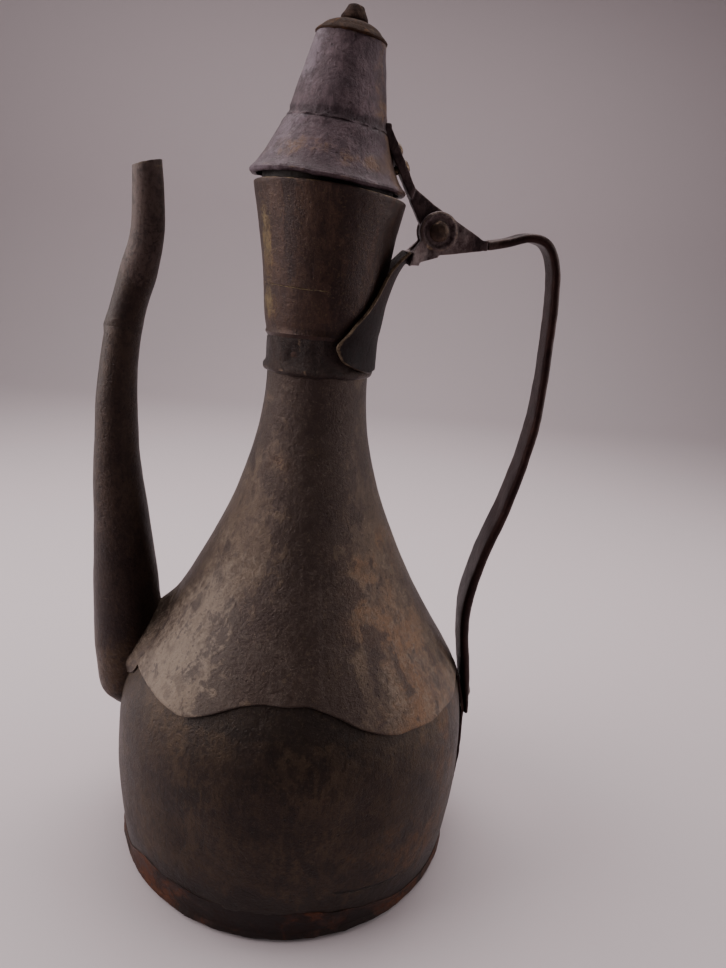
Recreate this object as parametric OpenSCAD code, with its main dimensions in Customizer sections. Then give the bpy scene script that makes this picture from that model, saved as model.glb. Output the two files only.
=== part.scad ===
// Tall sheet-metal ewer for serving coffee: drum with a scalloped shoulder, flared
// mouth, long curved spout, strap handle and a hinged conical lid.
// Origin: centre of the base, on the floor. +Z up, handle towards +X, spout towards -X.

/* [Sheet and fits] */
// Thickness of the body sheet, measured level
sheet = 1.2; // [0.8:0.1:1.6]
// Gap between pieces that are brazed or riveted together
fit = 0.05; // [0.02:0.01:0.1]
// Radial running clearance of the pin in the lid's eye
pin_play = 0.05; // [0.02:0.01:0.1]

/* [Body] */
// Radius of the drum at its lower edge
foot_r = 74; // [66:0.5:76]
// Radius of the belly at its widest
belly_r = 78; // [70:0.5:96]
// Height at which the belly starts to turn inwards
belly_z = 76; // [62:1:92]
// How far the shoulder has come in at the hip, measured from the belly
hip_in = 17.8; // [14:0.1:22]
// Height of the hip above the turn of the belly
hip_up = 26; // [22:1:32]
// Inner radius of the neck
neck_r = 18.7; // [15.5:0.1:22.5]
// Height of the neck's lower collar edge
neck_z = 214; // [178:1:257]

/* [Foot] */
// Height of the foot band's upper edge
band_top = 15; // [10:0.5:18]
// Thickness of the foot band
band_t = 0.9; // [0.6:0.1:1.3]
// Height of the drum's lower edge above the floor
foot_lift = 2.1; // [1.6:0.1:3]
// How far the flat resting face stays in from the drum's lower edge
rest_in = 6; // [5:0.5:12]

/* [Shoulder seam] */
// Height of the shoulder's hem above the turn of the belly
hem_up = 9; // [6:0.5:12]
// Rise of the front and back arches above the hem
arch_rise = 15; // [10:0.5:16]
// Half the span of each arch
arch_half = 50; // [36:1:56]

/* [Mouth] */
// Height of the collar round the neck joint
collar_h = 12; // [10:0.5:15]
// Thickness of the collar
collar_t = 0.9; // [0.6:0.1:1.4]
// Height of the cup above the collar
cup_h = 52.8; // [44:0.2:63]
// Outer radius of the cup at its rim
rim_r = 28.4; // [26.6:0.1:34]
// Tilt of the rim down towards the handle, in degrees
mouth_tilt = 3.5; // [0:0.5:5]
// Tilt of the rim down towards the back, in degrees
mouth_lean = 3.5; // [0:0.5:5]

/* [Spout] */
// Height of the spout's tip
tip_z = 284; // [240:1:320]
// Thickness of the spout's wall
spout_wall = 1.1; // [0.8:0.1:1.3]
// Thickness of the saddle round the spout's root
saddle_t = 1; // [0.7:0.1:1.5]
// Radius of the port from the body into the spout
port_r = 8; // [6.7:0.1:9.6]

/* [Handle] */
// Thickness of the handle strap at the hinge end
strap_t = 3.4; // [2.8:0.1:4]
// Width of the handle strap at the hinge end
strap_w = 12; // [10:0.2:14.4]
// Width of the handle strap where it lies on the body
strap_foot_w = 17; // [14:0.2:20]
// Thickness of the plate under the strap's lower end
plate_t = 1.5; // [1:0.1:2]
// Radius of the rivets' shanks
rivet_r = 1.6; // [1.3:0.1:2]
// Thickness of the leaf that braces the hinge against the neck
leaf_t = 1.2; // [0.9:0.1:1.6]

/* [Hinge] */
// Distance from the rim out to the hinge pin
pin_out = 12.7; // [12:0.1:15]
// Distance from the middle of the rim down to the hinge pin
pin_drop = 8.7; // [7.5:0.1:10.4]
// Radius of the hinge pin
pin_r = 2; // [1.7:0.1:2.4]
// Radius of the hinge cheeks
cheek_r = 7.2; // [6.2:0.1:8.2]
// Width of the lid's eye
eye_w = 5.4; // [4.5:0.1:6.5]
// Gap between the lid's eye and each cheek
eye_gap = 0.3; // [0.2:0.05:0.5]

/* [Lid] */
// How far the lid's brim stands out beyond the rim
brim_over = 0.4; // [0:0.1:1.5]
// Height of the skirt, from brim to crease
skirt_h = 20.5; // [17:0.5:24.6]
// Height of the cone, from crease to cap
cone_h = 26.5; // [22:0.5:31.8]
// Outer radius of the cone at the crease
crease_r = 17.9; // [16:0.1:19]
// Outer radius of the cone at the cap
cap_r = 12.4; // [10.4:0.1:14.8]
// Tilt of the lid down towards the handle, in degrees
lid_tilt = 5; // [4:0.5:7]
// Height of the lid's brim above the middle of the rim
lid_gap = 4.6; // [4.4:0.1:6]
// Depth of the sleeve that drops into the mouth
sleeve_h = 8.5; // [6:0.5:10.2]
// Gap between the sleeve and the cup at the rim
sleeve_gap = 2.6; // [2.6:0.1:4]

/* [Hidden] */
$fn = 96;

brass = [0.42, 0.35, 0.26];
dusty_brass = [0.5, 0.42, 0.32];
dark_brass = [0.28, 0.22, 0.18];
rusty = [0.4, 0.2, 0.12];
lid_grey = [0.4, 0.34, 0.33];
bright = [0.6, 0.5, 0.35];

// ---- Curves ---------------------------------------------------------------------
// A point at t on a cubic curve with the control points p.
function bezier_at(p, t) =
    p[0] * pow(1 - t, 3) + p[1] * 3 * t * pow(1 - t, 2) + p[2] * 3 * t * t * (1 - t) + p[3] * pow(t, 3);
function bezier(p, n) = [for (i = [0 : n]) bezier_at(p, i / n)];
// A smooth line through all points, with n steps between neighbours.
function smooth_at(a, b, c, d, t) =
    0.5 * (2 * b + (c - a) * t + (2 * a - 5 * b + 4 * c - d) * t * t + (3 * b - a - 3 * c + d) * t * t * t);
function smooth(p, n) = let (last = len(p) - 1) concat(
    [for (i = [0 : last - 1], k = [0 : n - 1])
        smooth_at(p[max(i - 1, 0)], p[i], p[i + 1], p[min(i + 2, last)], k / n)],
    [p[last]]);
function part_of(list, from, to) = [for (i = [from : to]) list[i]];
function flipped(list) = [for (i = [len(list) - 1 : -1 : 0]) list[i]];

// ---- Body outline: outside of the drum and inside of the shoulder ----------------
hip_r = belly_r - hip_in;
hip_z = belly_z + hip_up;
neck_run = neck_z - hip_z;
body_curve = concat(
    bezier([[foot_r, 0], [belly_r + 0.4, 0.24 * belly_z], [belly_r + 1.3, 0.76 * belly_z],
        [belly_r - 3.6, belly_z]], 8),
    bezier([[belly_r - 3.6, belly_z], [belly_r - 5.7, belly_z + 8], [hip_r + 5.8, hip_z - 9],
        [hip_r, hip_z]], 5),
    bezier([[hip_r, hip_z], [hip_r - 0.163 * neck_run, hip_z + 0.26 * neck_run],
        [neck_r, neck_z - 0.375 * neck_run], [neck_r, neck_z]], 12));
body_table = [for (p = body_curve) [p[1], p[0]]];
// Radius of the body outline at the height z.
function body_at(z) = lookup(z, body_table);
// Heights between z0 and z1 at which the outline bends.
function body_steps(z0, z1) =
    concat([z0], [for (p = body_table) if (p[0] > z0 + 0.8 && p[0] < z1 - 0.8) p[0]], [z1]);
// The outline from z0 to z1, moved outwards by off.
function body_line(z0, z1, off) = [for (z = body_steps(z0, z1)) [body_at(z) + off, z]];

rest_r = foot_r - rest_in;
hem_z = belly_z + hem_up;
drum_top = hip_z + 1;
neck_top = neck_z + 0.58 * collar_h;
shoulder_out = fit + sheet;
saddle_out = shoulder_out + fit + saddle_t;
cheek_in = eye_w / 2 + eye_gap;
cheek_out = strap_w / 2 + 0.2;

// ---- Mouth ------------------------------------------------------------------------
collar_in = neck_r + shoulder_out + fit;
collar_out = collar_in + collar_t;
cup_z = neck_z + collar_h;
rim_z = cup_z + cup_h;
neck_out = neck_r + shoulder_out;
cup_curve = concat(
    [[neck_out, neck_top + fit], [neck_out, cup_z]],
    part_of(bezier([[neck_out, cup_z], [neck_out + 3.2, cup_z + 0.11 * cup_h],
        [rim_r - 6.2, rim_z - 0.51 * cup_h], [rim_r, rim_z + 1.2]], 10), 1, 10),
    [[rim_r + 1.3, rim_z + 7]]);
cup_table = [for (p = cup_curve) [p[1], p[0]]];
function cup_at(z) = lookup(z, cup_table);

// ---- Hinge place ------------------------------------------------------------------
pin_x = rim_r + pin_out;
pin_z = rim_z - pin_drop;

// ---- Leaf: against collar and cup below, leaning out to the hinge above ------------
leaf_low = neck_z + 3;
leaf_away = cup_z + 0.27 * cup_h;
leaf_top = pin_z - 8.6;
leaf_top_r = pin_x - 8.4;
away_table = [for (p = bezier([[cup_at(leaf_away), leaf_away],
    [cup_at(leaf_away) + 1.1, leaf_away + 7], [leaf_top_r - 6, leaf_top - 9],
    [leaf_top_r, leaf_top]], 5)) [p[1], p[0]]];
// Inner radius of the leaf: clear of collar and cup, then out along its own curve.
function leaf_at(z) = fit + max(collar_out, cup_at(z), z > leaf_away ? lookup(z, away_table) : 0);
leaf_steps = concat([leaf_low, cup_z + 2.5],
    [for (p = cup_table) if (p[0] > cup_z + 3 && p[0] < leaf_top - 0.5) p[0]], [leaf_top]);
leaf_line = [for (z = leaf_steps) [leaf_at(z), z]];

// ---- Spout: up the spout, how far its outer side stands beyond the belly, its
// width along X and its depth along Y ------------------------------------------------
root_z = belly_z - 18;
spout_rise = tip_z - root_z;
spout_shape = [
    [0.00, 0.5, 15, 18],
    [0.02, 6, 21, 25],
    [0.05, 10, 26, 31],
    [0.14, 11.5, 29.5, 34],
    [0.23, 11.5, 27.5, 31],
    [0.36, 11, 23.2, 25],
    [0.50, 10.2, 18.4, 19.4],
    [0.63, 8.6, 15.8, 16],
    [0.74, 4.4, 13.7, 14],
    [0.83, -1, 14, 14],
    [0.90, -5.4, 12.1, 12.2],
    [1.00, -6.2, 10.4, 10.8]];
spout_steps = 3;
spout_sides = 24;
spout_line = smooth(spout_shape, spout_steps);
spout_joint = 8 * spout_steps;
spout_end = len(spout_line) - 1;
tip_slope = 0.28;
// One oval ring of the spout, drawn in by inset.
function spout_ring(s, inset, slope = 0) = let (middle = -(belly_r + s[1] - s[2] / 2))
    [for (i = [0 : spout_sides - 1]) let (
        a = 360 * i / spout_sides,
        x = (s[2] / 2 - inset) * cos(a),
        y = (s[3] / 2 - inset) * sin(a))
        [middle + x, y, root_z + s[0] * spout_rise + slope * x]];
function spout_rings(from, to, inset) = [for (i = [from : to])
    spout_ring(spout_line[i], inset, i == spout_end ? tip_slope : 0)];

// ---- Handle: the middle line of the strap ------------------------------------------
fork_end_x = pin_x + 18.9;
bar_z = pin_z - 3.3;
reach = belly_r + 12.3;
plate_out = fit + plate_t;
plate_top = belly_z + 6;
strap_foot_t = strap_t + 0.6;
strap_low_z = belly_z - 14;
bend_x = reach - 6.8;
grip_rise = pin_z - belly_z;
strap_seat = 0.3;
function on_plate(z) = body_at(z) + plate_out + strap_seat + strap_foot_t / 2;
handle_points = [
    [fork_end_x + fit, bar_z],
    [fork_end_x + 0.34 * (bend_x - fork_end_x), bar_z + 1.9],
    [fork_end_x + 0.68 * (bend_x - fork_end_x), bar_z + 4.2],
    [bend_x, pin_z - 1.1],
    [reach - 2.5, pin_z - 10],
    [reach - 0.7, pin_z - 28],
    [reach, pin_z - 52],
    [reach - 0.9, belly_z + 0.61 * grip_rise],
    [belly_r + 6.4, belly_z + 0.47 * grip_rise],
    [belly_r - 0.8, belly_z + 0.335 * grip_rise],
    [belly_r - 5, belly_z + 0.215 * grip_rise],
    [belly_r - 3.8, belly_z + 0.115 * grip_rise],
    [on_plate(belly_z + 2) + 0.2, belly_z + 2],
    [on_plate(strap_low_z + 7), strap_low_z + 7],
    [on_plate(strap_low_z), strap_low_z]];
handle_steps = 3;
handle_sides = 16;
handle_line = smooth(handle_points, handle_steps);
handle_end = len(handle_line) - 1;
// Share of the way from the narrow top to the wide foot of the strap.
function strap_share(i) = min(1, max(0, (i / handle_end - 0.42) / 0.22));
function strap_way(i) = i == 0 ? [1, 0] :
    let (v = handle_line[min(i + 1, handle_end)] - handle_line[i - 1]) v / norm(v);
// Distance out of a soft-cornered square section, from -1 to 1.
function soft(u) = sign(u) * sqrt(abs(u));
function strap_ring(i) = let (
    p = handle_line[i],
    way = strap_way(i),
    w = strap_w + strap_share(i) * (strap_foot_w - strap_w),
    t = strap_t + strap_share(i) * (strap_foot_t - strap_t))
    [for (k = [0 : handle_sides - 1]) let (
        a = 360 * (k + 0.5) / handle_sides,
        across = soft(sin(a)) * t / 2)
        [p[0] - way[1] * across, soft(cos(a)) * w / 2, p[1] + way[0] * across]];

// ---- Rivets in the drum -------------------------------------------------------------
plate_low = band_top + 1.5;
low_rivet_z = plate_low + 23;
high_rivet_z = strap_low_z + 7;
rivet_head_r = 2 * rivet_r;
rivet_head_h = rivet_r;
rivet_hole_r = rivet_r + fit;

// ---- Lid, in its own frame: origin in the middle of the brim, h up its axis ----------
lid_x = -1.2;
lid_z = rim_z + lid_gap;
brim_r = rim_r + brim_over;
cone_top_h = skirt_h + cone_h;
cone_slope = (crease_r - cap_r) / cone_h;
cap_h = 5.7;
knob_h = 4.7;
stem_r = 1.5;
tuck_h = 4;
tab_t = 1.8;
brim_bead = 1.1;
skirt_curve = bezier([[brim_r - 0.3, 1.6], [brim_r - 4.3, 4.5], [crease_r + 4.6, 0.5 * skirt_h],
    [crease_r, skirt_h - fit]], 8);
sleeve_r = rim_r - sheet - sleeve_gap;
sleeve_wall = 0.8;
// The skirt's inside, drawn in by its wall, and the height of that inside at a radius.
skirt_inner = [for (p = part_of(skirt_curve, 0, 6)) p - [sheet * 1.15, 0.2]];
sleeve_top_h = lookup(sleeve_r, flipped(skirt_inner)) - 0.35;
function cone_at(h) = crease_r - (h - skirt_h) * cone_slope;
// The place beside the handle, along X and Z, of radius r and height h on the lid.
function lid_side(r, h) = [
    lid_x + r * cos(lid_tilt) + h * sin(lid_tilt),
    lid_z - r * sin(lid_tilt) + h * cos(lid_tilt)];
// The strap's outer face runs straight down from the crease to the brim.
tab_start = [crease_r + tab_t, skirt_h + 1];
tab_end = [brim_r + 3.2, 3.4];
tab_lean = atan((tab_end[0] - tab_start[0]) / (tab_start[1] - tab_end[1]));
function skirt_at(h) = lookup(h, [for (p = skirt_curve) [p[1], p[0]]]);
function tab_at(h) = tab_start[0] + (tab_start[1] - h) * tan(tab_lean);
lid_outer = concat(
    [[0, 0], [brim_r - 0.3, 0]], skirt_curve,
    [[cap_r, cone_top_h], [cap_r - 2, cone_top_h + 2.7], [0, cone_top_h + cap_h]]);

// ---- Shared shapes --------------------------------------------------------------------
// A closed skin over rings of equal length. Hollow skins join the last ring to the first.
module skin(rings, hollow) {
    n = len(rings[0]);
    m = len(rings);
    spans = hollow ? m - 1 : m - 2;
    points = [for (ring = rings, p = ring) p];
    sides = [for (j = [0 : spans], i = [0 : n - 1]) let (
        a = j * n + i,
        b = j * n + (i + 1) % n,
        c = ((j + 1) % m) * n + (i + 1) % n,
        d = ((j + 1) % m) * n + i)
        each [[a, d, c], [a, c, b]]];
    ends = hollow ? [] : [[for (i = [0 : n - 1]) i], [for (i = [n - 1 : -1 : 0]) (m - 1) * n + i]];
    polyhedron(points, concat(sides, ends), convexity = 6);
}

// A turned shell between an outer line and an inner line, both listed upwards.
module turned(outer, inner) {
    rotate_extrude() polygon(concat(outer, flipped(inner)));
}

module lid_place() {
    translate([lid_x, 0, lid_z]) rotate([0, lid_tilt, 0]) children();
}

// A rivet along Z: domed head above the height grip, flat peened end below -inside.
module rivet(grip, inside) {
    peen_h = 0.9;
    translate([0, 0, grip]) rotate_extrude() polygon(concat([[0, 0]],
        [for (a = [0 : 15 : 90]) [rivet_head_r * cos(a), rivet_head_h * sin(a)]]));
    translate([0, 0, -inside - peen_h]) cylinder(r = rivet_r, h = grip + inside + peen_h + 0.1);
    translate([0, 0, -inside - peen_h]) cylinder(r = rivet_head_r - 0.7, h = peen_h);
}

// Places children on the drum under the handle, their Z axis square to its wall.
module rivet_place(z) {
    lean = atan((body_at(z - 3) - body_at(z + 3)) / 6);
    translate([body_at(z), 0, z]) rotate([0, 90 - lean, 0]) children();
}

module rivet_holes() {
    for (z = [low_rivet_z, high_rivet_z])
        rivet_place(z) cylinder(r = rivet_hole_r, h = 30, center = true);
}

// The upright slot through which the body fills the spout.
module port() {
    for (z = [belly_z, belly_z + 13])
        translate([-belly_r - 10, 0, z]) rotate([0, 90, 0]) cylinder(r = port_r, h = 40);
    translate([-belly_r - 10, -port_r, belly_z]) cube([40, 2 * port_r, 13]);
}

// ---- Foot -------------------------------------------------------------------------------
module base_pan() {
    wall_line = body_line(foot_lift, band_top - 2, -sheet - fit);
    inner_line = body_line(foot_lift + sheet, band_top - 2, -2 * sheet - fit);
    color(dark_brass)
        rotate_extrude() polygon(concat(
            [[0, 0], [rest_r, 0], [rest_r, foot_lift]], wall_line, flipped(inner_line),
            [[rest_r - sheet, foot_lift + sheet], [rest_r - sheet, sheet], [0, sheet]]));
}

module foot_band() {
    lip = 1;
    bead = body_at(foot_lift) + fit + 2;
    inner_line = body_line(foot_lift - fit, band_top, fit);
    outer_line = body_line(foot_lift + 3, band_top, fit + band_t);
    color(rusty)
        rotate_extrude() polygon(concat(
            [[rest_r + fit, foot_lift - fit - lip], [bead - 0.6, foot_lift - fit - lip],
                [bead, foot_lift - 0.4], [bead, foot_lift + 1], [bead - 0.5, foot_lift + 1.7]],
            outer_line, flipped(inner_line), [[rest_r + fit, foot_lift - fit]]));
}

// ---- Body -------------------------------------------------------------------------------
module drum() {
    color(brass) difference() {
        turned(body_line(foot_lift, drum_top, 0), body_line(foot_lift, drum_top, -sheet));
        port();
        rivet_holes();
    }
}

module shoulder() {
    arch_r = (arch_half * arch_half + arch_rise * arch_rise) / (2 * arch_rise);
    color(dusty_brass) difference() {
        turned(concat(body_line(hem_z, neck_z, shoulder_out), [[neck_r + shoulder_out, neck_top]]),
            concat(body_line(hem_z, neck_z, fit), [[neck_r + fit, neck_top]]));
        translate([0, 0, hem_z + arch_rise - arch_r]) rotate([90, 0, 0])
            cylinder(r = arch_r, h = 3 * belly_r, center = true, $fn = 180);
        port();
    }
}

module neck_collar() {
    bead_r = 1.5;
    color(dark_brass) rotate_extrude() difference() {
        union() {
            translate([collar_in, neck_z + bead_r]) square([collar_t, collar_h - bead_r]);
            translate([collar_in + collar_t * 0.8, neck_z + bead_r]) circle(r = bead_r, $fn = 32);
        }
        translate([0, neck_z - 2]) square([collar_in, collar_h + 4]);
    }
}

module mouth_cup() {
    color(brass) difference() {
        turned(cup_curve, [for (p = cup_curve) [p[0] - sheet, p[1]]]);
        translate([0, 0, rim_z]) rotate([-mouth_lean, mouth_tilt, 0])
            translate([-2 * rim_r, -2 * rim_r, 0]) cube([4 * rim_r, 4 * rim_r, 20]);
    }
}

// ---- Spout --------------------------------------------------------------------------------
module spout_saddle() {
    low = root_z - 4;
    high = hip_z + 14;
    widest = belly_z + 6;
    side = concat(
        bezier([[0, low], [14, low], [22, widest - 16], [22, widest]], 8),
        part_of(bezier([[22, widest], [22, widest + 16], [9, high], [0, high]], 8), 1, 8));
    outer_line = body_line(low - 2, high + 2, saddle_out);
    inner_line = concat(
        body_line(low - 2, hem_z - 0.3, fit),
        body_line(hem_z - 0.2, high + 2, shoulder_out + fit));
    color(dusty_brass) difference() {
        turned(outer_line, inner_line);
        saddle_frame(side, low, high);
        port();
    }
}

// All that lies outside the saddle's outline on the spout's side of the body.
module saddle_frame(side, low, high) {
    size = 2 * belly_r + 40;
    difference() {
        translate([-size / 2, -size / 2, low - 10]) cube([size, size, high - low + 20]);
        rotate([90, 0, -90]) linear_extrude(size)
            polygon(concat(side, flipped([for (p = side) [-p[0], p[1]]])));
    }
}

module spout_lower() {
    lap = spout_joint + 2;
    lap_inset = spout_wall + fit;
    outer = concat(spout_rings(0, spout_joint, 0), spout_rings(spout_joint, lap, lap_inset));
    inner = concat(
        spout_rings(2, spout_joint - 1, spout_wall),
        spout_rings(spout_joint, lap, lap_inset + spout_wall));
    cut_low = root_z - 6;
    cut_high = hip_z + 16;
    color(dark_brass) difference() {
        skin(concat(outer, flipped(inner)), true);
        rotate_extrude() polygon(concat(
            [[0, cut_low]], body_line(cut_low, cut_high, saddle_out + fit), [[0, cut_high]]));
    }
}

module spout_upper() {
    color(dark_brass) skin(concat(
        spout_rings(spout_joint, spout_end, 0),
        flipped(spout_rings(spout_joint, spout_end, spout_wall))), true);
}

// ---- Hinge and handle -----------------------------------------------------------------------
module neck_leaf() {
    top_w = strap_w / 2 + 0.2;
    wide = collar_out - 1.4;
    wide_z = neck_z + collar_h + 3;
    side = concat(
        bezier([[top_w, leaf_top + 1], [top_w, leaf_top - 15], [wide - 1, leaf_away + 6],
            [wide, wide_z]], 8),
        part_of(bezier([[wide, wide_z], [wide, wide_z - 8], [10, leaf_low + 1], [0, leaf_low]], 8), 1, 8));
    color(dark_brass) intersection() {
        turned([for (p = leaf_line) [p[0] + leaf_t, p[1]]], leaf_line);
        rotate([90, 0, 90]) linear_extrude(2 * pin_x)
            polygon(concat(side, flipped([for (p = side) [-p[0], p[1]]])));
    }
}

// Outline of one hinge cheek: boss, wing towards the handle and arm down to the leaf.
module cheek_outline() {
    translate([pin_x, pin_z]) circle(r = cheek_r);
    polygon([
        [pin_x - 1, pin_z - cheek_r - 1.6],
        [fork_end_x - 2, bar_z - strap_t / 2 - 0.4],
        [fork_end_x - 2, bar_z + strap_t / 2 + 0.1],
        [pin_x + 5.6, pin_z + 4.6],
        [pin_x, pin_z]]);
    polygon([
        [pin_x - 1, pin_z - cheek_r - 1.6],
        [pin_x, pin_z],
        [pin_x - 6.2, pin_z - 3.4],
        [leaf_top_r - 1.6, leaf_top + 0.4],
        [leaf_top_r - 2, leaf_top - 4.4]]);
}

module hinge_fork() {
    web_x = fork_end_x - 6.4;
    web_z = bar_z - strap_t / 2 - 0.2;
    color(dark_brass) difference() {
        union() {
            for (y = [-cheek_out, cheek_in])
                translate([0, y + cheek_out - cheek_in, 0]) rotate([90, 0, 0])
                    linear_extrude(cheek_out - cheek_in) cheek_outline();
            translate([web_x, -cheek_out, web_z])
                cube([fork_end_x - web_x, 2 * cheek_out, strap_t + 0.2]);
            translate([leaf_top_r - 2, -cheek_out, leaf_top - 4])
                cube([4.2, 2 * cheek_out, 4.6]);
        }
        translate([pin_x, 0, pin_z]) rotate([90, 0, 0])
            cylinder(r = pin_r + fit, h = 4 * cheek_out, center = true);
        rotate_extrude() polygon(concat(
            [[0, leaf_low]], [for (p = leaf_line) [p[0] + leaf_t + fit, p[1]]],
            [[leaf_top_r + leaf_t + fit, leaf_top + 0.2], [0, leaf_top + 0.2]]));
    }
}

module hinge_pin() {
    head_r = 3.75;
    head_h = 1.6;
    seat = cheek_out + fit;
    head = concat([[0, 0]], [for (a = [0 : 15 : 90]) [head_r * cos(a), head_h * sin(a)]]);
    color(bright) translate([pin_x, 0, pin_z]) rotate([90, 0, 0]) {
        cylinder(r = pin_r, h = 2 * seat + 0.2, center = true);
        translate([0, 0, seat]) rotate_extrude() polygon(head);
        mirror([0, 0, 1]) translate([0, 0, seat]) rotate_extrude() polygon(head);
    }
}

module handle_strap() {
    color(dark_brass) difference() {
        skin([for (i = [0 : handle_end]) strap_ring(i)], false);
        rivet_holes();
    }
}

module handle_foot_plate() {
    top_w = strap_foot_w / 2 + 1;
    side = concat(
        [[top_w, plate_top], [top_w + 1, belly_z - 14]],
        bezier([[top_w, low_rivet_z], [top_w - 2, plate_low + 8], [6, plate_low], [0, plate_low]], 6));
    color(dark_brass) difference() {
        intersection() {
            turned(body_line(plate_low - 2, plate_top + 1, plate_out),
                body_line(plate_low - 2, plate_top + 1, fit));
            rotate([90, 0, 90]) linear_extrude(2 * belly_r)
                polygon(concat(side, flipped([for (p = side) [-p[0], p[1]]])));
        }
        rivet_holes();
    }
}

module handle_rivets() {
    seat = 0.15;
    color(bright) {
        rivet_place(low_rivet_z) rivet(plate_out + seat, sheet + seat);
        rivet_place(high_rivet_z)
            rivet(plate_out + strap_seat + strap_foot_t + seat, sheet + seat);
    }
}

// ---- Lid --------------------------------------------------------------------------------------
module lid_skirt() {
    tuck_r = crease_r - sheet - fit;
    color(lid_grey) lid_place() difference() {
        rotate_extrude() {
            polygon(concat(
                skirt_curve,
                [[tuck_r, skirt_h - fit], [tuck_r - tuck_h * cone_slope, skirt_h + tuck_h],
                    [tuck_r - sheet - tuck_h * cone_slope, skirt_h + tuck_h]],
                [[tuck_r - sheet, skirt_h - 1.5]],
                flipped(skirt_inner)));
            translate([brim_r - brim_bead, brim_bead]) circle(r = brim_bead, $fn = 32);
        }
        lid_rivet_places() translate([0, 0, -6]) cylinder(r = rivet_r + fit, h = 12);
    }
}

module lid_cone() {
    color(lid_grey) lid_place() turned([[crease_r, skirt_h], [cap_r, cone_top_h]],
        [[crease_r - sheet, skirt_h], [cap_r - sheet, cone_top_h]]);
}

module lid_cap() {
    spigot_r = cap_r - sheet - fit;
    color(lid_grey) lid_place() rotate_extrude() polygon([
        [stem_r + fit, cone_top_h + cap_h - 0.1],
        [stem_r + fit, cone_top_h + cap_h - 1.1],
        [cap_r - 5.6, cone_top_h + 3.6],
        [spigot_r - 1, cone_top_h + 1],
        [spigot_r - 1, cone_top_h - 3],
        [spigot_r - 0.1, cone_top_h - 3],
        [spigot_r, cone_top_h + fit],
        [cap_r, cone_top_h + fit],
        [cap_r - 0.2, cone_top_h + 1],
        [cap_r - 2, cone_top_h + 2.9],
        [cap_r - 5.6, cone_top_h + cap_h - 0.7]]);
}

module lid_knob() {
    base_r = 4.8;
    top_r = 2.75;
    base_h = cone_top_h + cap_h;
    peen_h = base_h - 1.1 - fit;
    color(lid_grey) lid_place() rotate_extrude() polygon([
        [0, peen_h - 1], [stem_r + 1, peen_h - 1], [stem_r + 1, peen_h - 0.4], [stem_r, peen_h - 0.4],
        [stem_r, base_h], [base_r, base_h], [base_r, base_h + 0.6],
        [top_r + 0.1, base_h + knob_h - 0.5], [top_r - 0.6, base_h + knob_h], [0, base_h + knob_h]]);
}

module lid_sleeve() {
    color(brass) lid_place() turned(
        [[sleeve_r - 1.1, -sleeve_h], [sleeve_r, sleeve_top_h - 0.5], [sleeve_r, sleeve_top_h]],
        [[sleeve_r - 1.1 - sleeve_wall, -sleeve_h], [sleeve_r - sleeve_wall, sleeve_top_h - 0.5],
            [sleeve_r - sleeve_wall, sleeve_top_h]]);
}

// Places children on the handle side of the skirt, their Z axis square to the strap's
// outer face, which lies $over beyond the skirt.
module lid_rivet_places() {
    for (h = [0.4 * skirt_h, 0.68 * skirt_h]) {
        $over = (tab_at(h) - skirt_at(h)) * cos(tab_lean);
        translate([skirt_at(h), 0, h]) rotate([0, 90 - tab_lean, 0]) children();
    }
}

// The strap from the lid's crease to the hinge eye: a wide tab on the skirt, then a
// narrow web between the hinge cheeks.
module lid_strap() {
    tab_w = 9;
    tab_top_h = skirt_h + 2.5;
    eye_r = cheek_r - 0.4;
    color(dark_brass) difference() {
        union() {
            translate([0, tab_w / 2, 0]) rotate([90, 0, 0]) linear_extrude(tab_w) {
                translate([lid_x, lid_z]) rotate(-lid_tilt) polygon([
                    [cone_at(tab_top_h) - 2, tab_top_h],
                    [cone_at(tab_top_h) + tab_t, tab_top_h],
                    tab_start,
                    tab_end,
                    [brim_r + 2.4, -0.6],
                    [brim_r + 0.9, 1.2],
                    [crease_r + 2, skirt_h - 5.5],
                    [crease_r - 2, skirt_h]]);
            }
            translate([0, eye_w / 2, 0]) rotate([90, 0, 0]) linear_extrude(eye_w) {
                translate([pin_x, pin_z]) circle(r = eye_r);
                polygon([
                    lid_side(brim_r + 1.6, 2.6),
                    lid_side(brim_r + 2.8, 4),
                    [pin_x + 3.8, pin_z + 5.6],
                    [pin_x, pin_z],
                    [pin_x - 6.6, pin_z + 1.4],
                    lid_side(brim_r + 2.2, -1)]);
            }
        }
        translate([pin_x, 0, pin_z]) rotate([90, 0, 0])
            cylinder(r = pin_r + pin_play, h = 4 * cheek_out, center = true);
        lid_place() rotate_extrude() polygon([for (p = lid_outer) [p[0] + (p[0] > 0 ? fit : 0), p[1]]]);
        lid_place() lid_rivet_places() translate([0, 0, -6]) cylinder(r = rivet_r + fit, h = 12);
    }
}

module lid_strap_rivets() {
    head = 0.8 * rivet_head_r;
    color(bright) lid_place() lid_rivet_places() {
        translate([0, 0, -sheet - 1.7]) cylinder(r = rivet_r, h = sheet + $over + 1.8);
        translate([0, 0, -sheet - 1.7]) cylinder(r = 0.8 * head, h = 0.8);
        translate([0, 0, $over + fit]) rotate_extrude() polygon(concat([[0, 0]],
            [for (a = [0 : 15 : 90]) [head * cos(a), 1.2 * sin(a)]]));
    }
}

base_pan();
foot_band();
drum();
shoulder();
neck_collar();
mouth_cup();
spout_saddle();
spout_lower();
spout_upper();
neck_leaf();
hinge_fork();
hinge_pin();
handle_strap();
handle_foot_plate();
handle_rivets();
lid_skirt();
lid_cone();
lid_cap();
lid_knob();
lid_sleeve();
lid_strap();
lid_strap_rivets();
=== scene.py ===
"""Looks of a tall sheet-metal ewer: dented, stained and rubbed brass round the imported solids.

Every length is in millimetres until a tool hands it to Blender, which works in metres.
The frame is the solids' own: base on the floor at the origin, +Z up, handle towards +X.
"""

import logging
import math
from dataclasses import dataclass, field
from enum import Enum
from typing import Callable, Sequence

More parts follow.
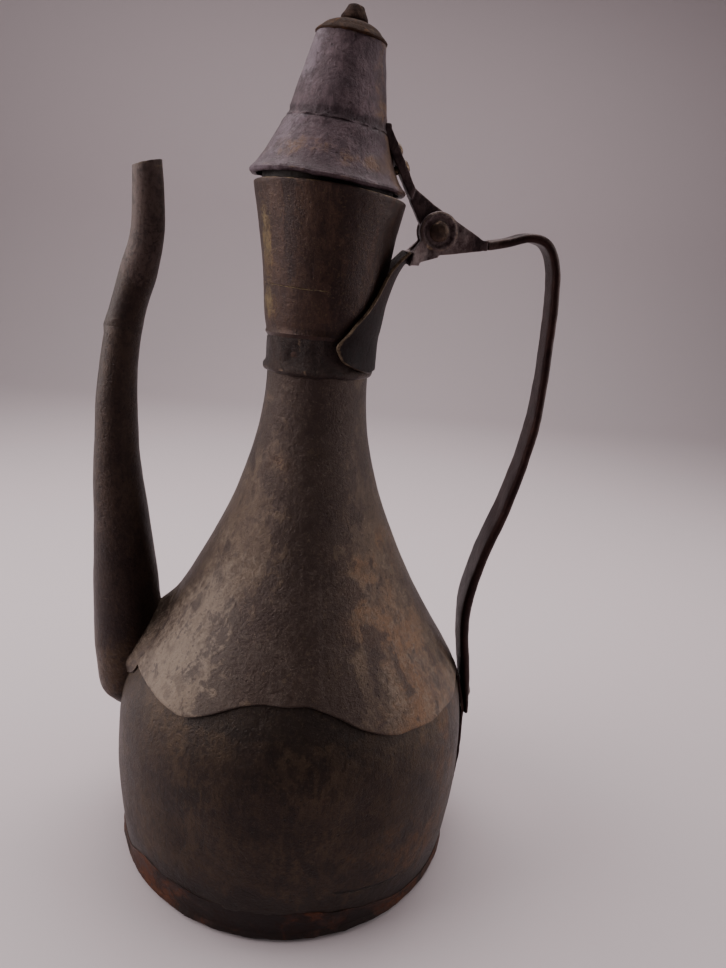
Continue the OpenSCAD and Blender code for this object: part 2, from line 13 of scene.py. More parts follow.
import bpy
from mathutils import Matrix, Vector, noise


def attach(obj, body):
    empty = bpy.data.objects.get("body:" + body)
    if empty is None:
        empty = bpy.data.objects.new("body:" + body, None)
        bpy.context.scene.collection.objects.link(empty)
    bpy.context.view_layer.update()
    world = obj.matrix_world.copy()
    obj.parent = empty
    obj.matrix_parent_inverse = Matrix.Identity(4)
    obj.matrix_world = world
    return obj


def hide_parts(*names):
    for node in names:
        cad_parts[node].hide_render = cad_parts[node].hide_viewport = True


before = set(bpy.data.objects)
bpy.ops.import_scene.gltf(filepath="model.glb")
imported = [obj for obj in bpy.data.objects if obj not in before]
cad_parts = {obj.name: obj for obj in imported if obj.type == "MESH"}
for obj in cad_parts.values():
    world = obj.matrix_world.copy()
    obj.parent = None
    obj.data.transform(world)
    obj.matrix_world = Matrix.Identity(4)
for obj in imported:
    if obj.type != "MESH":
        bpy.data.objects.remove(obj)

LOG = logging.getLogger("ewer")
MM = 0.001
GAP = 0.05  # the seam that solder fills
Line = Sequence[tuple[float, float]]
Colour = tuple[float, float, float]


# ---- Small sums -----------------------------------------------------------------------
def bezier(points: Line, steps: int) -> list[tuple[float, float]]:
    """Points along a cubic curve.

    Args:
        points: The four control points.
        steps: How many pieces the curve is cut into.

    Returns:
        The points, both ends included.
    """
    made = []
    for i in range(steps + 1):
        t = i / steps
        weights = ((1 - t) ** 3, 3 * t * (1 - t) ** 2, 3 * t * t * (1 - t), t**3)
        made.append(tuple(sum(w * p[k] for w, p in zip(weights, points)) for k in range(2)))
    return made


def smooth_line(points: Sequence[Sequence[float]], steps: int) -> list[tuple[float, ...]]:
    """A smooth line through all the points.

    Args:
        points: Points or rows of sizes, all of one length.
        steps: How many pieces lie between neighbours.

    Returns:
        The rows along the line, both ends included.
    """
    made = []
    last = len(points) - 1
    for i in range(last):
        a, b, c, d = (points[min(max(j, 0), last)] for j in (i - 1, i, i + 1, i + 2))
        for step in range(steps):
            t = step / steps
            made.append(tuple(
                0.5 * (2 * q + (r - p) * t + (2 * p - 5 * q + 4 * r - s) * t * t
                       + (3 * q - p - 3 * r + s) * t**3)
                for p, q, r, s in zip(a, b, c, d)))
    made.append(tuple(points[last]))
    return made


def read_line(line: Line, z: float) -> float:
    """The radius of a rising line of (radius, height) at the height z."""
    if z <= line[0][1]:
        return line[0][0]
    for (r0, z0), (r1, z1) in zip(line, line[1:]):
        if z <= z1:
            return r0 + (r1 - r0) * (z - z0) / max(z1 - z0, 1e-9)
    return line[-1][0]


def even_line(line: Line, low: float, high: float, step: float,
              out: float = 0.0) -> list[tuple[float, float]]:
    """The stretch of a line from low to high, in equal steps of height, moved outwards."""
    count = max(2, round((high - low) / step))
    heights = [low + (high - low) * i / count for i in range(count + 1)]
    return [(read_line(line, z) + out, z) for z in heights]


def ease(low: float, high: float, value: float) -> float:
    """0 below low, 1 above high and a smooth way between; low may be the larger one."""
    t = min(1.0, max(0.0, (value - low) / (high - low)))
    return t * t * (3 - 2 * t)


def bell(value: float, centre: float, width: float) -> float:
    """A smooth hump of height 1 round the centre."""
    return math.exp(-(((value - centre) / width) ** 2))


def around(point: Vector) -> float:
    """The compass angle of a point about the upright axis, in degrees from +X."""
    return math.degrees(math.atan2(point.y, point.x))


def turn_gap(a: float, b: float) -> float:
    """The smaller angle between two compass angles, in degrees."""
    return abs((a - b + 180) % 360 - 180)


def lobe(angle: float, centre: float, width: float) -> float:
    """A smooth hump of height 1 round a compass angle, in degrees."""
    return bell(turn_gap(angle, centre), 0, width)


def facing(point: Vector, centre: float, width: float) -> float:
    """A smooth hump of height 1 where a point's compass angle is near the centre."""
    return lobe(around(point), centre, width)


def flutter(x: float, y: float, z: float) -> float:
    """Smooth noise from -1 to 1 at the three given numbers."""
    return noise.noise(Vector((x, y, z)))


def rough_wave(point: Vector, size: float, seed: float = 0.0) -> float:
    """Smooth noise from -1 to 1 with bumps of about the given size in millimetres."""
    return noise.noise(point / size + Vector((seed, seed * 1.7, -seed)))


# ---- Hand tools ------------------------------------------------------------------------
class Bench:
    """The modelling tools: each one leaves its object whole, with its place in its mesh."""

    @staticmethod
    def clear() -> None:
        """Leaves edit mode and deselects everything."""
        if bpy.context.active_object and bpy.context.active_object.mode != "OBJECT":
            bpy.ops.object.mode_set(mode="OBJECT")
        bpy.ops.object.select_all(action="DESELECT")

    @staticmethod
    def pick(piece: bpy.types.Object) -> None:
        """Makes a piece the only selected one and the active one."""
        Bench.clear()
        piece.select_set(True)
        bpy.context.view_layer.objects.active = piece

    @staticmethod
    def enter(selection: str) -> None:
        """Opens the active piece for editing: "SELECT" picks all of it, "DESELECT" nothing."""
        bpy.ops.object.mode_set(mode="EDIT")
        bpy.ops.mesh.select_all(action=selection)

    @staticmethod
    def leave() -> None:
        """Closes the piece again."""
        bpy.ops.object.mode_set(mode="OBJECT")

    @staticmethod
    def settle(piece: bpy.types.Object) -> None:
        """Moves a piece's place, turn and size into its mesh."""
        Bench.pick(piece)
        bpy.ops.object.transform_apply(location=True, rotation=True, scale=True)

    @staticmethod
    def modify(piece: bpy.types.Object, kind: str, **settings) -> None:
        """Adds one modifier with its settings and applies it."""
        Bench.pick(piece)
        modifier = piece.modifiers.new(kind.lower(), kind)
        for name, value in settings.items():
            setattr(modifier, name, value)
        bpy.ops.object.modifier_apply(modifier=modifier.name)

    @staticmethod
    def face_outwards(piece: bpy.types.Object) -> None:
        """Merges doubled points and turns every face outwards."""
        Bench.pick(piece)
        Bench.enter("SELECT")
        bpy.ops.mesh.remove_doubles(threshold=1e-6)
        bpy.ops.mesh.normals_make_consistent(inside=False)
        Bench.leave()
        vertices, faces = piece.data.vertices, piece.data.polygons
        middle = sum((v.co for v in vertices), Vector()) / len(vertices)
        if sum(f.area * f.normal.dot(f.center - middle) for f in faces) < 0:
            LOG.info("%s was inside out", piece.name)
            Bench.enter("SELECT")
            bpy.ops.mesh.flip_normals()
            Bench.leave()

    @staticmethod
    def raise_wall(name: str, line: Line, sides: int, floor: bool = False,
                   top: bool = False) -> bpy.types.Object:
        """Raises a round wall from a circle, ring by ring.

        Args:
            name: The piece's name.
            line: Radius and height of each ring, from the first upwards.
            sides: How many points a ring has.
            floor: Whether the first ring is filled.
            top: Whether the last ring is filled.

        Returns:
            The open or closed wall.
        """
        Bench.clear()
        radius, height = line[0]
        bpy.ops.mesh.primitive_circle_add(
            vertices=sides, radius=radius * MM, location=(0, 0, height * MM),
            fill_type="NGON" if floor else "NOTHING")
        piece = bpy.context.active_object
        piece.name = piece.data.name = name
        Bench.settle(piece)
        Bench.enter("SELECT")
        for (r0, z0), (r1, z1) in zip(line, line[1:]):
            bpy.ops.mesh.extrude_region_move(
                TRANSFORM_OT_translate={"value": (0, 0, (z1 - z0) * MM)})
            bpy.ops.transform.resize(
                value=(r1 / r0, r1 / r0, 1), center_override=(0, 0, z1 * MM))
        if floor:
            bpy.ops.mesh.delete(type="ONLY_FACE")
            bpy.ops.mesh.select_all(action="DESELECT")
        elif top:
            bpy.ops.mesh.edge_face_add()
        Bench.leave()
        return piece

    @staticmethod
    def close(piece: bpy.types.Object) -> None:
        """Fills the open end of a wall and turns its faces outwards."""
        Bench.pick(piece)
        Bench.enter("DESELECT")
        bpy.ops.mesh.select_non_manifold()
        bpy.ops.mesh.edge_face_add()
        Bench.leave()
        Bench.face_outwards(piece)

    @staticmethod
    def shape(piece: bpy.types.Object, move: Callable[[Vector], Vector]) -> None:
        """Moves every point of a piece, in millimetres, as a hammer and hands would."""
        for vertex in piece.data.vertices:
            vertex.co = move(vertex.co / MM) * MM
        piece.data.update()

    @staticmethod
    def soften(piece: bpy.types.Object, edge: float, angle: float = 50) -> None:
        """Rounds every edge sharper than the angle by the given width."""
        Bench.modify(piece, "BEVEL", width=edge * MM, segments=2, limit_method="ANGLE",
                     angle_limit=math.radians(angle))

    @staticmethod
    def thicken(piece: bpy.types.Object, wall: float, edge: float = 0.25) -> None:
        """Gives a skin a wall on its inner side and softens the cut edges."""
        Bench.face_outwards(piece)
        Bench.modify(piece, "SOLIDIFY", thickness=wall * MM, offset=-1.0, use_even_offset=True)
        if edge:
            Bench.soften(piece, edge)

    @staticmethod
    def from_solid(name: str, node: str) -> bpy.types.Object:
        """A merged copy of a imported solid, for forging into its worn shape."""
        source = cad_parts[node]
        piece = bpy.data.objects.new(name, source.data.copy())
        piece.data.name = name
        piece.data.materials.clear()
        bpy.context.scene.collection.objects.link(piece)
        Bench.face_outwards(piece)
        return piece

    @staticmethod
    def forge(piece: bpy.types.Object, grain: float, rounds: int) -> None:
        """Closes a rough shape into one even skin and rubs it smooth."""
        Bench.modify(piece, "REMESH", mode="VOXEL", voxel_size=grain * MM, adaptivity=0.0)
        Bench.modify(piece, "SMOOTH", factor=0.5, iterations=rounds)

    @staticmethod
    def join(name: str, pieces: Sequence[bpy.types.Object]) -> bpy.types.Object:
        """Joins several pieces into one."""
        Bench.clear()
        for piece in pieces:
            piece.select_set(True)
        bpy.context.view_layer.objects.active = pieces[0]
        bpy.ops.object.join()
        joined = bpy.context.active_object
        joined.name = joined.data.name = name
        return joined

    @staticmethod
    def paint(piece: bpy.types.Object, mark: "Mark", amount: Callable[[Vector], float]) -> None:
        """Stores a value from 0 to 1 at every point, for the finish to read."""
        layer = piece.data.attributes.new(mark.value, "FLOAT", "POINT")
        layer.data.foreach_set(
            "value", [min(1.0, max(0.0, amount(v.co / MM))) for v in piece.data.vertices])

    @staticmethod
    def polish(piece: bpy.types.Object, angle: float = 42.0) -> None:
        """Shades a piece smooth up to the given angle between faces."""
        Bench.pick(piece)
        bpy.ops.object.shade_smooth_by_angle(angle=math.radians(angle))


# ---- Shader sums -----------------------------------------------------------------------
class Value:
    """One number socket of a node, with Python's sums for its maths."""

    def __init__(self, recipe: "Recipe", socket: bpy.types.NodeSocket) -> None:
        """Wraps a socket of the recipe's material."""
        self.recipe = recipe
        self.socket = socket

    def _sum(self, operation: str, *terms: "Value | float") -> "Value":
        """Adds one Math node."""
        return self.recipe.value(
            "ShaderNodeMath", {"operation": operation}, dict(enumerate(terms)))

    def __add__(self, other: "Value | float") -> "Value":
        """This plus the other."""
        return self._sum("ADD", self, other)

    def __radd__(self, other: float) -> "Value":
        """A number plus this."""
        return self._sum("ADD", other, self)

    def __sub__(self, other: "Value | float") -> "Value":
        """This less the other."""
        return self._sum("SUBTRACT", self, other)

    def __rsub__(self, other: float) -> "Value":
        """A number less this."""
        return self._sum("SUBTRACT", other, self)

    def __mul__(self, other: "Value | float") -> "Value":
        """This times the other."""
        return self._sum("MULTIPLY", self, other)

    def __rmul__(self, other: float) -> "Value":
        """A number times this."""
        return self._sum("MULTIPLY", other, self)

    def __truediv__(self, other: "Value | float") -> "Value":
        """This over the other."""
        return self._sum("DIVIDE", self, other)

    def __abs__(self) -> "Value":
        """This without its sign."""
        return self._sum("ABSOLUTE", self)

    def larger(self, other: "Value | float") -> "Value":
        """The larger of the two."""
        return self._sum("MAXIMUM", self, other)

    def smaller(self, other: "Value | float") -> "Value":
        """The smaller of the two."""
        return self._sum("MINIMUM", self, other)

    def between(self, low: float, high: float) -> "Value":
        """0 at low, 1 at high, eased and held beyond; low may be the larger one."""
        return self.recipe.value(
            "ShaderNodeMapRange", {"interpolation_type": "SMOOTHSTEP"},
            {"Value": self, "From Min": low, "From Max": high, "To Min": 0.0, "To Max": 1.0})


class Recipe:
    """One material under construction."""

    def __init__(self, name: str) -> None:
        """Starts an empty node material with its principled shader."""
        self.material = bpy.data.materials.new(name)
        self.material.use_nodes = True
        self.tree = self.material.node_tree
        self.tree.nodes.clear()
        self.shader = self.node("ShaderNodeBsdfPrincipled")
        end = self.node("ShaderNodeOutputMaterial")
        self.tree.links.new(self.shader.outputs[0], end.inputs["Surface"])
        self.place = self.node("ShaderNodeTexCoord").outputs["Object"]

    def node(self, kind: str, settings: dict | None = None,
             inputs: dict | None = None) -> bpy.types.Node:
        """Adds a node.

        Args:
            kind: The node's type.
            settings: Its own settings, set before its sockets.
            inputs: A value or a link for each socket named or numbered.

        Returns:
            The node.
        """
        made = self.tree.nodes.new(kind)
        for name, value in (settings or {}).items():
            setattr(made, name, value)
        for key, value in (inputs or {}).items():
            socket = made.inputs[key]
            source = value.socket if isinstance(value, Value) else value
            if isinstance(source, bpy.types.NodeSocket):
                self.tree.links.new(source, socket)
            elif isinstance(source, tuple) and len(source) == 3 and socket.type == "RGBA":
                socket.default_value = (*source, 1.0)
            else:
                socket.default_value = source
        return made

    def value(self, kind: str, settings: dict | None = None, inputs: dict | None = None,
              out: int | str = 0) -> Value:
        """Adds a node and returns one of its outputs as a number."""
        return Value(self, self.node(kind, settings, inputs).outputs[out])

    def stretched(self, scale: tuple[float, float, float]) -> bpy.types.NodeSocket:
        """Object coordinates scaled along each axis."""
        return self.node("ShaderNodeMapping", None, {
            "Vector": self.place, "Scale": scale}).outputs[0]

    def cloud(self, size: float, detail: float = 4.0, rough: float = 0.55, swirl: float = 0.0,
              stretch: tuple[float, float, float] = (1, 1, 1)) -> Value:
        """Cloudy noise from 0 to 1 with features of about the given size in millimetres."""
        return self.value("ShaderNodeTexNoise", None, {
            "Vector": self.stretched(stretch), "Scale": 1 / (size * MM), "Detail": detail,
            "Roughness": rough, "Distortion": swirl})

    def cells(self, size: float, spread: float = 1.0) -> Value:
        """Distance to the nearest of scattered points about the given size apart."""
        return self.value("ShaderNodeTexVoronoi", {"feature": "F1"}, {
            "Vector": self.place, "Scale": 1 / (size * MM), "Randomness": spread}, "Distance")

    def painted(self, mark: "Mark") -> Value:
        """A value stored at the points of the mesh."""
        return self.value("ShaderNodeAttribute", {"attribute_name": mark.value}, None, "Fac")

    def axis(self, name: str) -> Value:
        """One object coordinate, in metres."""
        return self.value("ShaderNodeSeparateXYZ", None, {"Vector": self.place}, name)

    def blend(self, share: "Value | float", under: object, over: object) -> bpy.types.NodeSocket:
        """Lays one colour over another by a share from 0 to 1."""
        return self.node("ShaderNodeMix", {"data_type": "RGBA"}, {
            0: share, 6: under, 7: over}).outputs[2]

    def finish(self, **sockets: object) -> bpy.types.Material:
        """Feeds the shader's sockets, with _ for a space in their names."""
        for name, source in sockets.items():
            socket = self.shader.inputs[name.replace("_", " ")]
            source = source.socket if isinstance(source, Value) else source
            if isinstance(source, bpy.types.NodeSocket):
                self.tree.links.new(source, socket)
            elif isinstance(source, tuple):
                socket.default_value = (*source, 1.0)
            else:
                socket.default_value = source
        return self.material

    def relief(self, height: Value, depth: float, strength: float = 1.0,
               under: bpy.types.NodeSocket | None = None) -> bpy.types.NodeSocket:
        """Turns a height from 0 to 1 into a bump of the given depth in millimetres."""
        inputs = {"Height": height, "Distance": depth * MM, "Strength": strength}
        if under is not None:
            inputs["Normal"] = under
        return self.node("ShaderNodeBump", None, inputs).outputs[0]


class Mark(Enum):
    """What the pieces store at their points for the finishes: rubbed metal and painted glints,
    stained marks and painted shade, dusty marks and painted highlights, and warm tone.
    """

    WEAR = "wear_and_glint"
    STAIN = "stain_and_shade"
    DUST = "dust_and_highlight"
    WARM = "warm"


class Score(Enum):
    """Where a finish has a scored line: its height in millimetres and its fall along X."""

    NONE = (0.0, 0.0)
    CUP = (246.2, 0.02)
    FOOT = (28.2, 0.17)


@dataclass(frozen=True)
class AgedBrass:
    """Old brass under a patina: clouds, stained patches and painted shade, dusty patches and
    painted highlights, speckle, pits, and rubbed edges and painted glints.

    The amounts are shares from 0 to 1, the sizes are in millimetres.
    """

    name: str
    ground: Colour
    shade: Colour
    dust_and_highlight: Colour
    stain_and_shade: Colour
    warm: Colour
    bare_and_glint: Colour = (0.24, 0.165, 0.09)
    cloud_size: float = 26.0
    blot_size: float = 9.0
    dust_and_highlight_share: float = 0.35
    stain_and_shade_share: float = 0.35
    warm_share: float = 0.25
    drip: float = 0.35
    speckle: float = 0.5
    spots: float = 0.5
    scratch: float = 0.4
    metal: float = 0.55
    rough: float = 0.5
    relief: float = 0.10
    sheen: float = 0.28
    scored: Score = Score.NONE

    def score(self, r: Recipe, waver: Value) -> Value:
        """A thin, wavering line cut into the sheet, from 0 to 1.

        Args:
            r: The material under construction.
            waver: Noise that bends the line.

        Returns:
            How much of the line is at each place.
        """
        x, z = r.axis("X"), r.axis("Z")
        height, fall = self.scored.value
        if self.scored is Score.CUP:
            level = z + fall * x - height * MM + 0.0010 * (waver - 0.5)
            return abs(level).between(0.00024, 0.00006) * x.between(0.004, -0.002)
        level = z + fall * x - height * MM + 0.0016 * (waver - 0.5)
        front = r.axis("Y").between(-0.02, -0.03)
        reach = x.between(0.018, 0.022) * x.between(0.052, 0.046)
        return abs(level).between(0.0009, 0.0003) * reach * front

    def make(self) -> bpy.types.Material:
        """Builds the material."""
        r = Recipe(self.name)
        broad = r.cloud(self.cloud_size, 5.0, 0.6, 0.4)
        blots = r.cloud(self.blot_size, 8.0, 0.68, 1.0)
        mottle = r.cloud(self.blot_size * 0.36, 6.0, 0.72, 0.7)
        runs = r.cloud(self.blot_size * 0.7, 6.0, 0.66, 0.5, (1.0, 1.0, self.drip))
        brushed = r.cloud(1.6, 5.0, 0.75, 0.3, (1.0, 1.0, 0.22))
        grain = r.cloud(0.9, 4.0, 0.75)
        crumbs = r.cloud(2.1, 7.0, 0.8, 0.5)
        pits = r.cells(3.7).between(0.16, 0.05)
        rubs = r.cloud(2.0, 3.0, 0.7, 0.3, (1.0, 1.0, 7.0))

        # Painted shade comes in with the stained patches, painted highlights with the dusty ones
        # and painted glints with the rubbed metal.
        stain_and_shade_mask = (runs * 0.45 + blots * 0.35 + mottle * 0.30 + 0.20 * r.painted(Mark.STAIN)
                      - 0.12
                      ).between(0.60 - 0.22 * self.stain_and_shade_share, 0.67 - 0.22 * self.stain_and_shade_share)
        dust_and_highlight_mask = (mottle * 0.45 + broad * 0.25 + grain * 0.15 + blots * 0.25
                     + 0.26 * r.painted(Mark.DUST) - 0.10).between(0.62 - 0.22 * self.dust_and_highlight_share,
                                                                0.76 - 0.22 * self.dust_and_highlight_share)
        warm_mask = (broad * 0.45 + mottle * 0.25 + runs * 0.30 + 0.26 * r.painted(Mark.WARM)
                     ).between(0.66 - 0.2 * self.warm_share, 0.78 - 0.2 * self.warm_share)
        wear_and_glint_mask = (r.painted(Mark.WEAR) * 1.1 + 0.5 * (grain - 0.5) + 0.6 * (blots - 0.5)
                     ).between(0.45, 0.95)
        scratches = rubs.between(0.66, 0.74) * self.scratch * broad.between(0.4, 0.6)

        colour = r.blend((broad * 0.5 + brushed * 0.25 + mottle * 0.25).between(0.38, 0.60),
                         self.shade, self.ground)
        colour = r.blend(warm_mask * 0.7, colour, self.warm)
        colour = r.blend(dust_and_highlight_mask * 0.75, colour, self.dust_and_highlight)
        colour = r.blend(stain_and_shade_mask * 0.75, colour, self.stain_and_shade)
        spots = r.cloud(self.blot_size * 0.7, 3.0, 0.5, 0.6)
        colour = r.blend(spots.between(0.50, 0.62) * self.spots * 0.65, colour, self.shade)
        colour = r.blend(brushed.between(0.50, 0.30) * self.speckle * 0.55, colour, self.shade)
        colour = r.blend(grain.between(0.55, 0.72) * self.speckle * 0.4, colour, self.dust_and_highlight)
        colour = r.blend(crumbs.between(0.54, 0.66) * self.speckle * 0.55, colour, self.ground)
        colour = r.blend(crumbs.between(0.44, 0.34) * self.speckle * 0.8, colour, self.stain_and_shade)
        colour = r.blend(pits * self.speckle * 0.6, colour, self.stain_and_shade)
        colour = r.blend(scratches * 0.4, colour, self.dust_and_highlight)
        colour = r.blend(wear_and_glint_mask * 0.9, colour, self.bare_and_glint)

        gloss = (self.rough + 0.20 * (grain - 0.5) + 0.24 * (blots - 0.5) + 0.18 * (brushed - 0.5)
                 + 0.12 * dust_and_highlight_mask - 0.06 * stain_and_shade_mask)
        gloss = (gloss - 0.16 * wear_and_glint_mask).larger(0.22).smaller(0.95)
        metal = (self.metal - 0.4 * self.metal * dust_and_highlight_mask + 0.3 * wear_and_glint_mask).smaller(1.0)

        height = (broad * 0.9 + blots * 0.7 + mottle * 0.5 + grain * 0.3 + brushed * 0.25 + crumbs
                  * 0.25
                  - pits * 0.2 - stain_and_shade_mask * 0.10 + dust_and_highlight_mask * 0.08 - scratches * 0.3)
        if self.scored is not Score.NONE:
            line = self.score(r, blots) * mottle.between(0.36, 0.52)
            colour = r.blend(line * 0.8, colour,
                             self.dust_and_highlight if self.scored is Score.CUP else self.stain_and_shade)
            height = height - 1.2 * line
        normal = r.relief(height, self.relief * 4)
        return r.finish(Base_Color=colour, Roughness=gloss, Metallic=metal, Normal=normal,
                        Specular_IOR_Level=self.sheen)


@dataclass(frozen=True)
class Rust:
    """A corroded crust: dark red-brown scale with orange patches and raised blisters."""

    name: str = "foot_rust"
    scale_colour: Colour = (0.030, 0.011, 0.009)
    orange: Colour = (0.080, 0.026, 0.012)
    dark: Colour = (0.010, 0.007, 0.007)
    brown: Colour = (0.045, 0.022, 0.016)

    def make(self) -> bpy.types.Material:
        """Builds the material."""
        r = Recipe(self.name)
        broad = r.cloud(20.0, 5.0, 0.6, 0.5)
        patch = r.cloud(4.2, 7.0, 0.72, 0.9)
        grain = r.cloud(1.0, 4.0, 0.75)
        blisters = r.cells(2.6).between(0.45, 0.05)
        warm = (patch * 0.65 + broad * 0.35) + 0.16 * r.painted(Mark.WARM) - 0.05
        orange = warm.between(0.49, 0.64)
        dark = (r.cloud(11.0, 4.0, 0.6, 0.6) + 0.2 * r.painted(Mark.STAIN)).between(0.52, 0.66)
        colour = r.blend(broad.between(0.35, 0.65), self.brown, self.scale_colour)
        colour = r.blend(orange * (0.55 + 0.45 * grain.between(0.35, 0.6)), colour, self.orange)
        colour = r.blend(dark * 0.8, colour, self.dark)
        height = patch * 0.8 + grain * 0.5 + blisters * 0.35 * orange
        normal = r.relief(height, 0.55)
        gloss = 0.62 + 0.25 * (grain - 0.5) + 0.12 * orange
        return r.finish(Base_Color=colour, Roughness=gloss, Metallic=0.1, Normal=normal,
                        Specular_IOR_Level=0.2)


@dataclass(frozen=True)
class PalePaper:
    """The matt backdrop and floor."""

    name: str = "pale_paper"
    colour: Colour = (0.53, 0.455, 0.475)

    def make(self) -> bpy.types.Material:
        """Builds the material."""
        r = Recipe(self.name)
        tone = r.blend(r.cloud(400.0, 2.0) * 0.1, self.colour, (0.50, 0.43, 0.45))
        return r.finish(Base_Color=tone, Roughness=0.85, Specular_IOR_Level=0.2)


class Finishes:
    """Every finish of the ewer, made once each."""

    def __init__(self) -> None:
        """Mixes the finishes."""
        self.drum = AgedBrass(
            "drum_brass", ground=(0.054, 0.033, 0.020), shade=(0.020, 0.0115, 0.0095),
            dust_and_highlight=(0.100, 0.074, 0.050), stain_and_shade=(0.012, 0.0075, 0.0070), warm=(0.100, 0.044, 0.016),
            stain_and_shade_share=0.42, dust_and_highlight_share=0.30, warm_share=0.50, rough=0.47, speckle=1.0,
                              scored=Score.FOOT,
            blot_size=7.0, relief=0.15, spots=0.8).make()
        self.shoulder = AgedBrass(
            "shoulder_brass", ground=(0.108, 0.074, 0.053), shade=(0.050, 0.032, 0.026),
            dust_and_highlight=(0.180, 0.135, 0.105), stain_and_shade=(0.030, 0.018, 0.017), warm=(0.155, 0.078, 0.040),
            stain_and_shade_share=0.50, dust_and_highlight_share=0.60, warm_share=0.42, speckle=0.8, rough=0.48,
            blot_size=7.5, drip=0.45, relief=0.16, spots=0.6).make()
        self.cup = AgedBrass(
            "cup_brass", ground=(0.066, 0.036, 0.026), shade=(0.031, 0.0165, 0.0145),
            dust_and_highlight=(0.165, 0.115, 0.055), stain_and_shade=(0.022, 0.013, 0.013), warm=(0.110, 0.058, 0.026),
            stain_and_shade_share=0.42, dust_and_highlight_share=0.34, warm_share=0.35, rough=0.42, drip=0.25,
            blot_size=6.0, speckle=0.9, spots=0.7, scored=Score.CUP).make()
        self.collar = AgedBrass(
            "collar_brass", ground=(0.036, 0.020, 0.016), shade=(0.016, 0.0095, 0.009),
            dust_and_highlight=(0.105, 0.066, 0.042), stain_and_shade=(0.012, 0.0075, 0.008), warm=(0.080, 0.038, 0.018),
            bare_and_glint=(0.30, 0.20, 0.13), stain_and_shade_share=0.45, dust_and_highlight_share=0.16, rough=0.36, blot_size=3.5,
            relief=0.20, speckle=0.8).make()
        self.spout = AgedBrass(
            "spout_brass", ground=(0.046, 0.027, 0.020), shade=(0.021, 0.0115, 0.0105),
            dust_and_highlight=(0.092, 0.058, 0.052), stain_and_shade=(0.013, 0.008, 0.008), warm=(0.060, 0.034, 0.016),
            stain_and_shade_share=0.35, dust_and_highlight_share=0.24, warm_share=0.4, rough=0.44, relief=0.12,
            blot_size=5.0, speckle=1.0, spots=0.8).make()
        self.handle = AgedBrass(
            "handle_brass", ground=(0.034, 0.0145, 0.0125), shade=(0.016, 0.0070, 0.0070),
            dust_and_highlight=(0.085, 0.052, 0.047), stain_and_shade=(0.011, 0.0062, 0.0065), warm=(0.062, 0.024, 0.015),
            stain_and_shade_share=0.3, dust_and_highlight_share=0.1, rough=0.42, relief=0.06, cloud_size=16.0,
            sheen=0.18).make()
        self.hinge = AgedBrass(
            "hinge_brass", ground=(0.100, 0.062, 0.062), shade=(0.046, 0.027, 0.029),
            dust_and_highlight=(0.160, 0.115, 0.110), stain_and_shade=(0.022, 0.013, 0.015), warm=(0.115, 0.058, 0.032),
            bare_and_glint=(0.20, 0.140, 0.095), stain_and_shade_share=0.35, dust_and_highlight_share=0.35, rough=0.40,
            blot_size=4.0, cloud_size=10.0, relief=0.10).make()
        self.lid = AgedBrass(
            "lid_brass", ground=(0.086, 0.054, 0.062), shade=(0.040, 0.023, 0.028),
            dust_and_highlight=(0.145, 0.108, 0.130), stain_and_shade=(0.020, 0.011, 0.014), warm=(0.120, 0.066, 0.036),
            bare_and_glint=(0.24, 0.165, 0.11), stain_and_shade_share=0.45, dust_and_highlight_share=0.36, warm_share=0.45,
            rough=0.38, blot_size=5.0, cloud_size=12.0, metal=0.6, speckle=0.9, relief=0.20,
                             spots=0.9).make()
        # A darker copy of the lid's brass: painted shade for the sleeve, which sits in the shadow
        # under the brim.
        self.sleeve = AgedBrass(
            "sleeve_shaded_brass", ground=(0.022, 0.013, 0.011), shade=(0.011, 0.007, 0.007),
            dust_and_highlight=(0.05, 0.035, 0.028), stain_and_shade=(0.010, 0.006, 0.006), warm=(0.035, 0.018, 0.012),
            rough=0.5).make()
        self.leaf = AgedBrass(
            "leaf_brass", ground=(0.021, 0.0100, 0.0095), shade=(0.010, 0.0050, 0.0052),
            dust_and_highlight=(0.055, 0.034, 0.028), stain_and_shade=(0.007, 0.004, 0.0045), warm=(0.040, 0.018, 0.011),
            bare_and_glint=(0.21, 0.145, 0.095), stain_and_shade_share=0.42, dust_and_highlight_share=0.12, rough=0.52,
            blot_size=4.0, cloud_size=10.0, relief=0.10, sheen=0.10, metal=0.2).make()
        self.cap = AgedBrass(
            "cap_brass", ground=(0.062, 0.034, 0.025), shade=(0.024, 0.013, 0.011),
            dust_and_highlight=(0.110, 0.070, 0.055), stain_and_shade=(0.014, 0.008, 0.008), warm=(0.115, 0.052, 0.022),
            bare_and_glint=(0.15, 0.095, 0.058), stain_and_shade_share=0.45, dust_and_highlight_share=0.25, warm_share=0.5,
                             rough=0.80,
            metal=0.08, sheen=0.04, blot_size=3.2, cloud_size=7.0, speckle=0.9, relief=0.12).make()
        self.rivet = AgedBrass(
            "rivet_brass", ground=(0.085, 0.050, 0.034), shade=(0.030, 0.018, 0.016),
            dust_and_highlight=(0.150, 0.100, 0.070), stain_and_shade=(0.020, 0.012, 0.012), warm=(0.130, 0.066, 0.030),
            bare_and_glint=(0.19, 0.130, 0.080), rough=0.38, blot_size=2.5, cloud_size=5.0,
            relief=0.08).make()
        self.foot = Rust().make()
        self.paper = PalePaper().make()


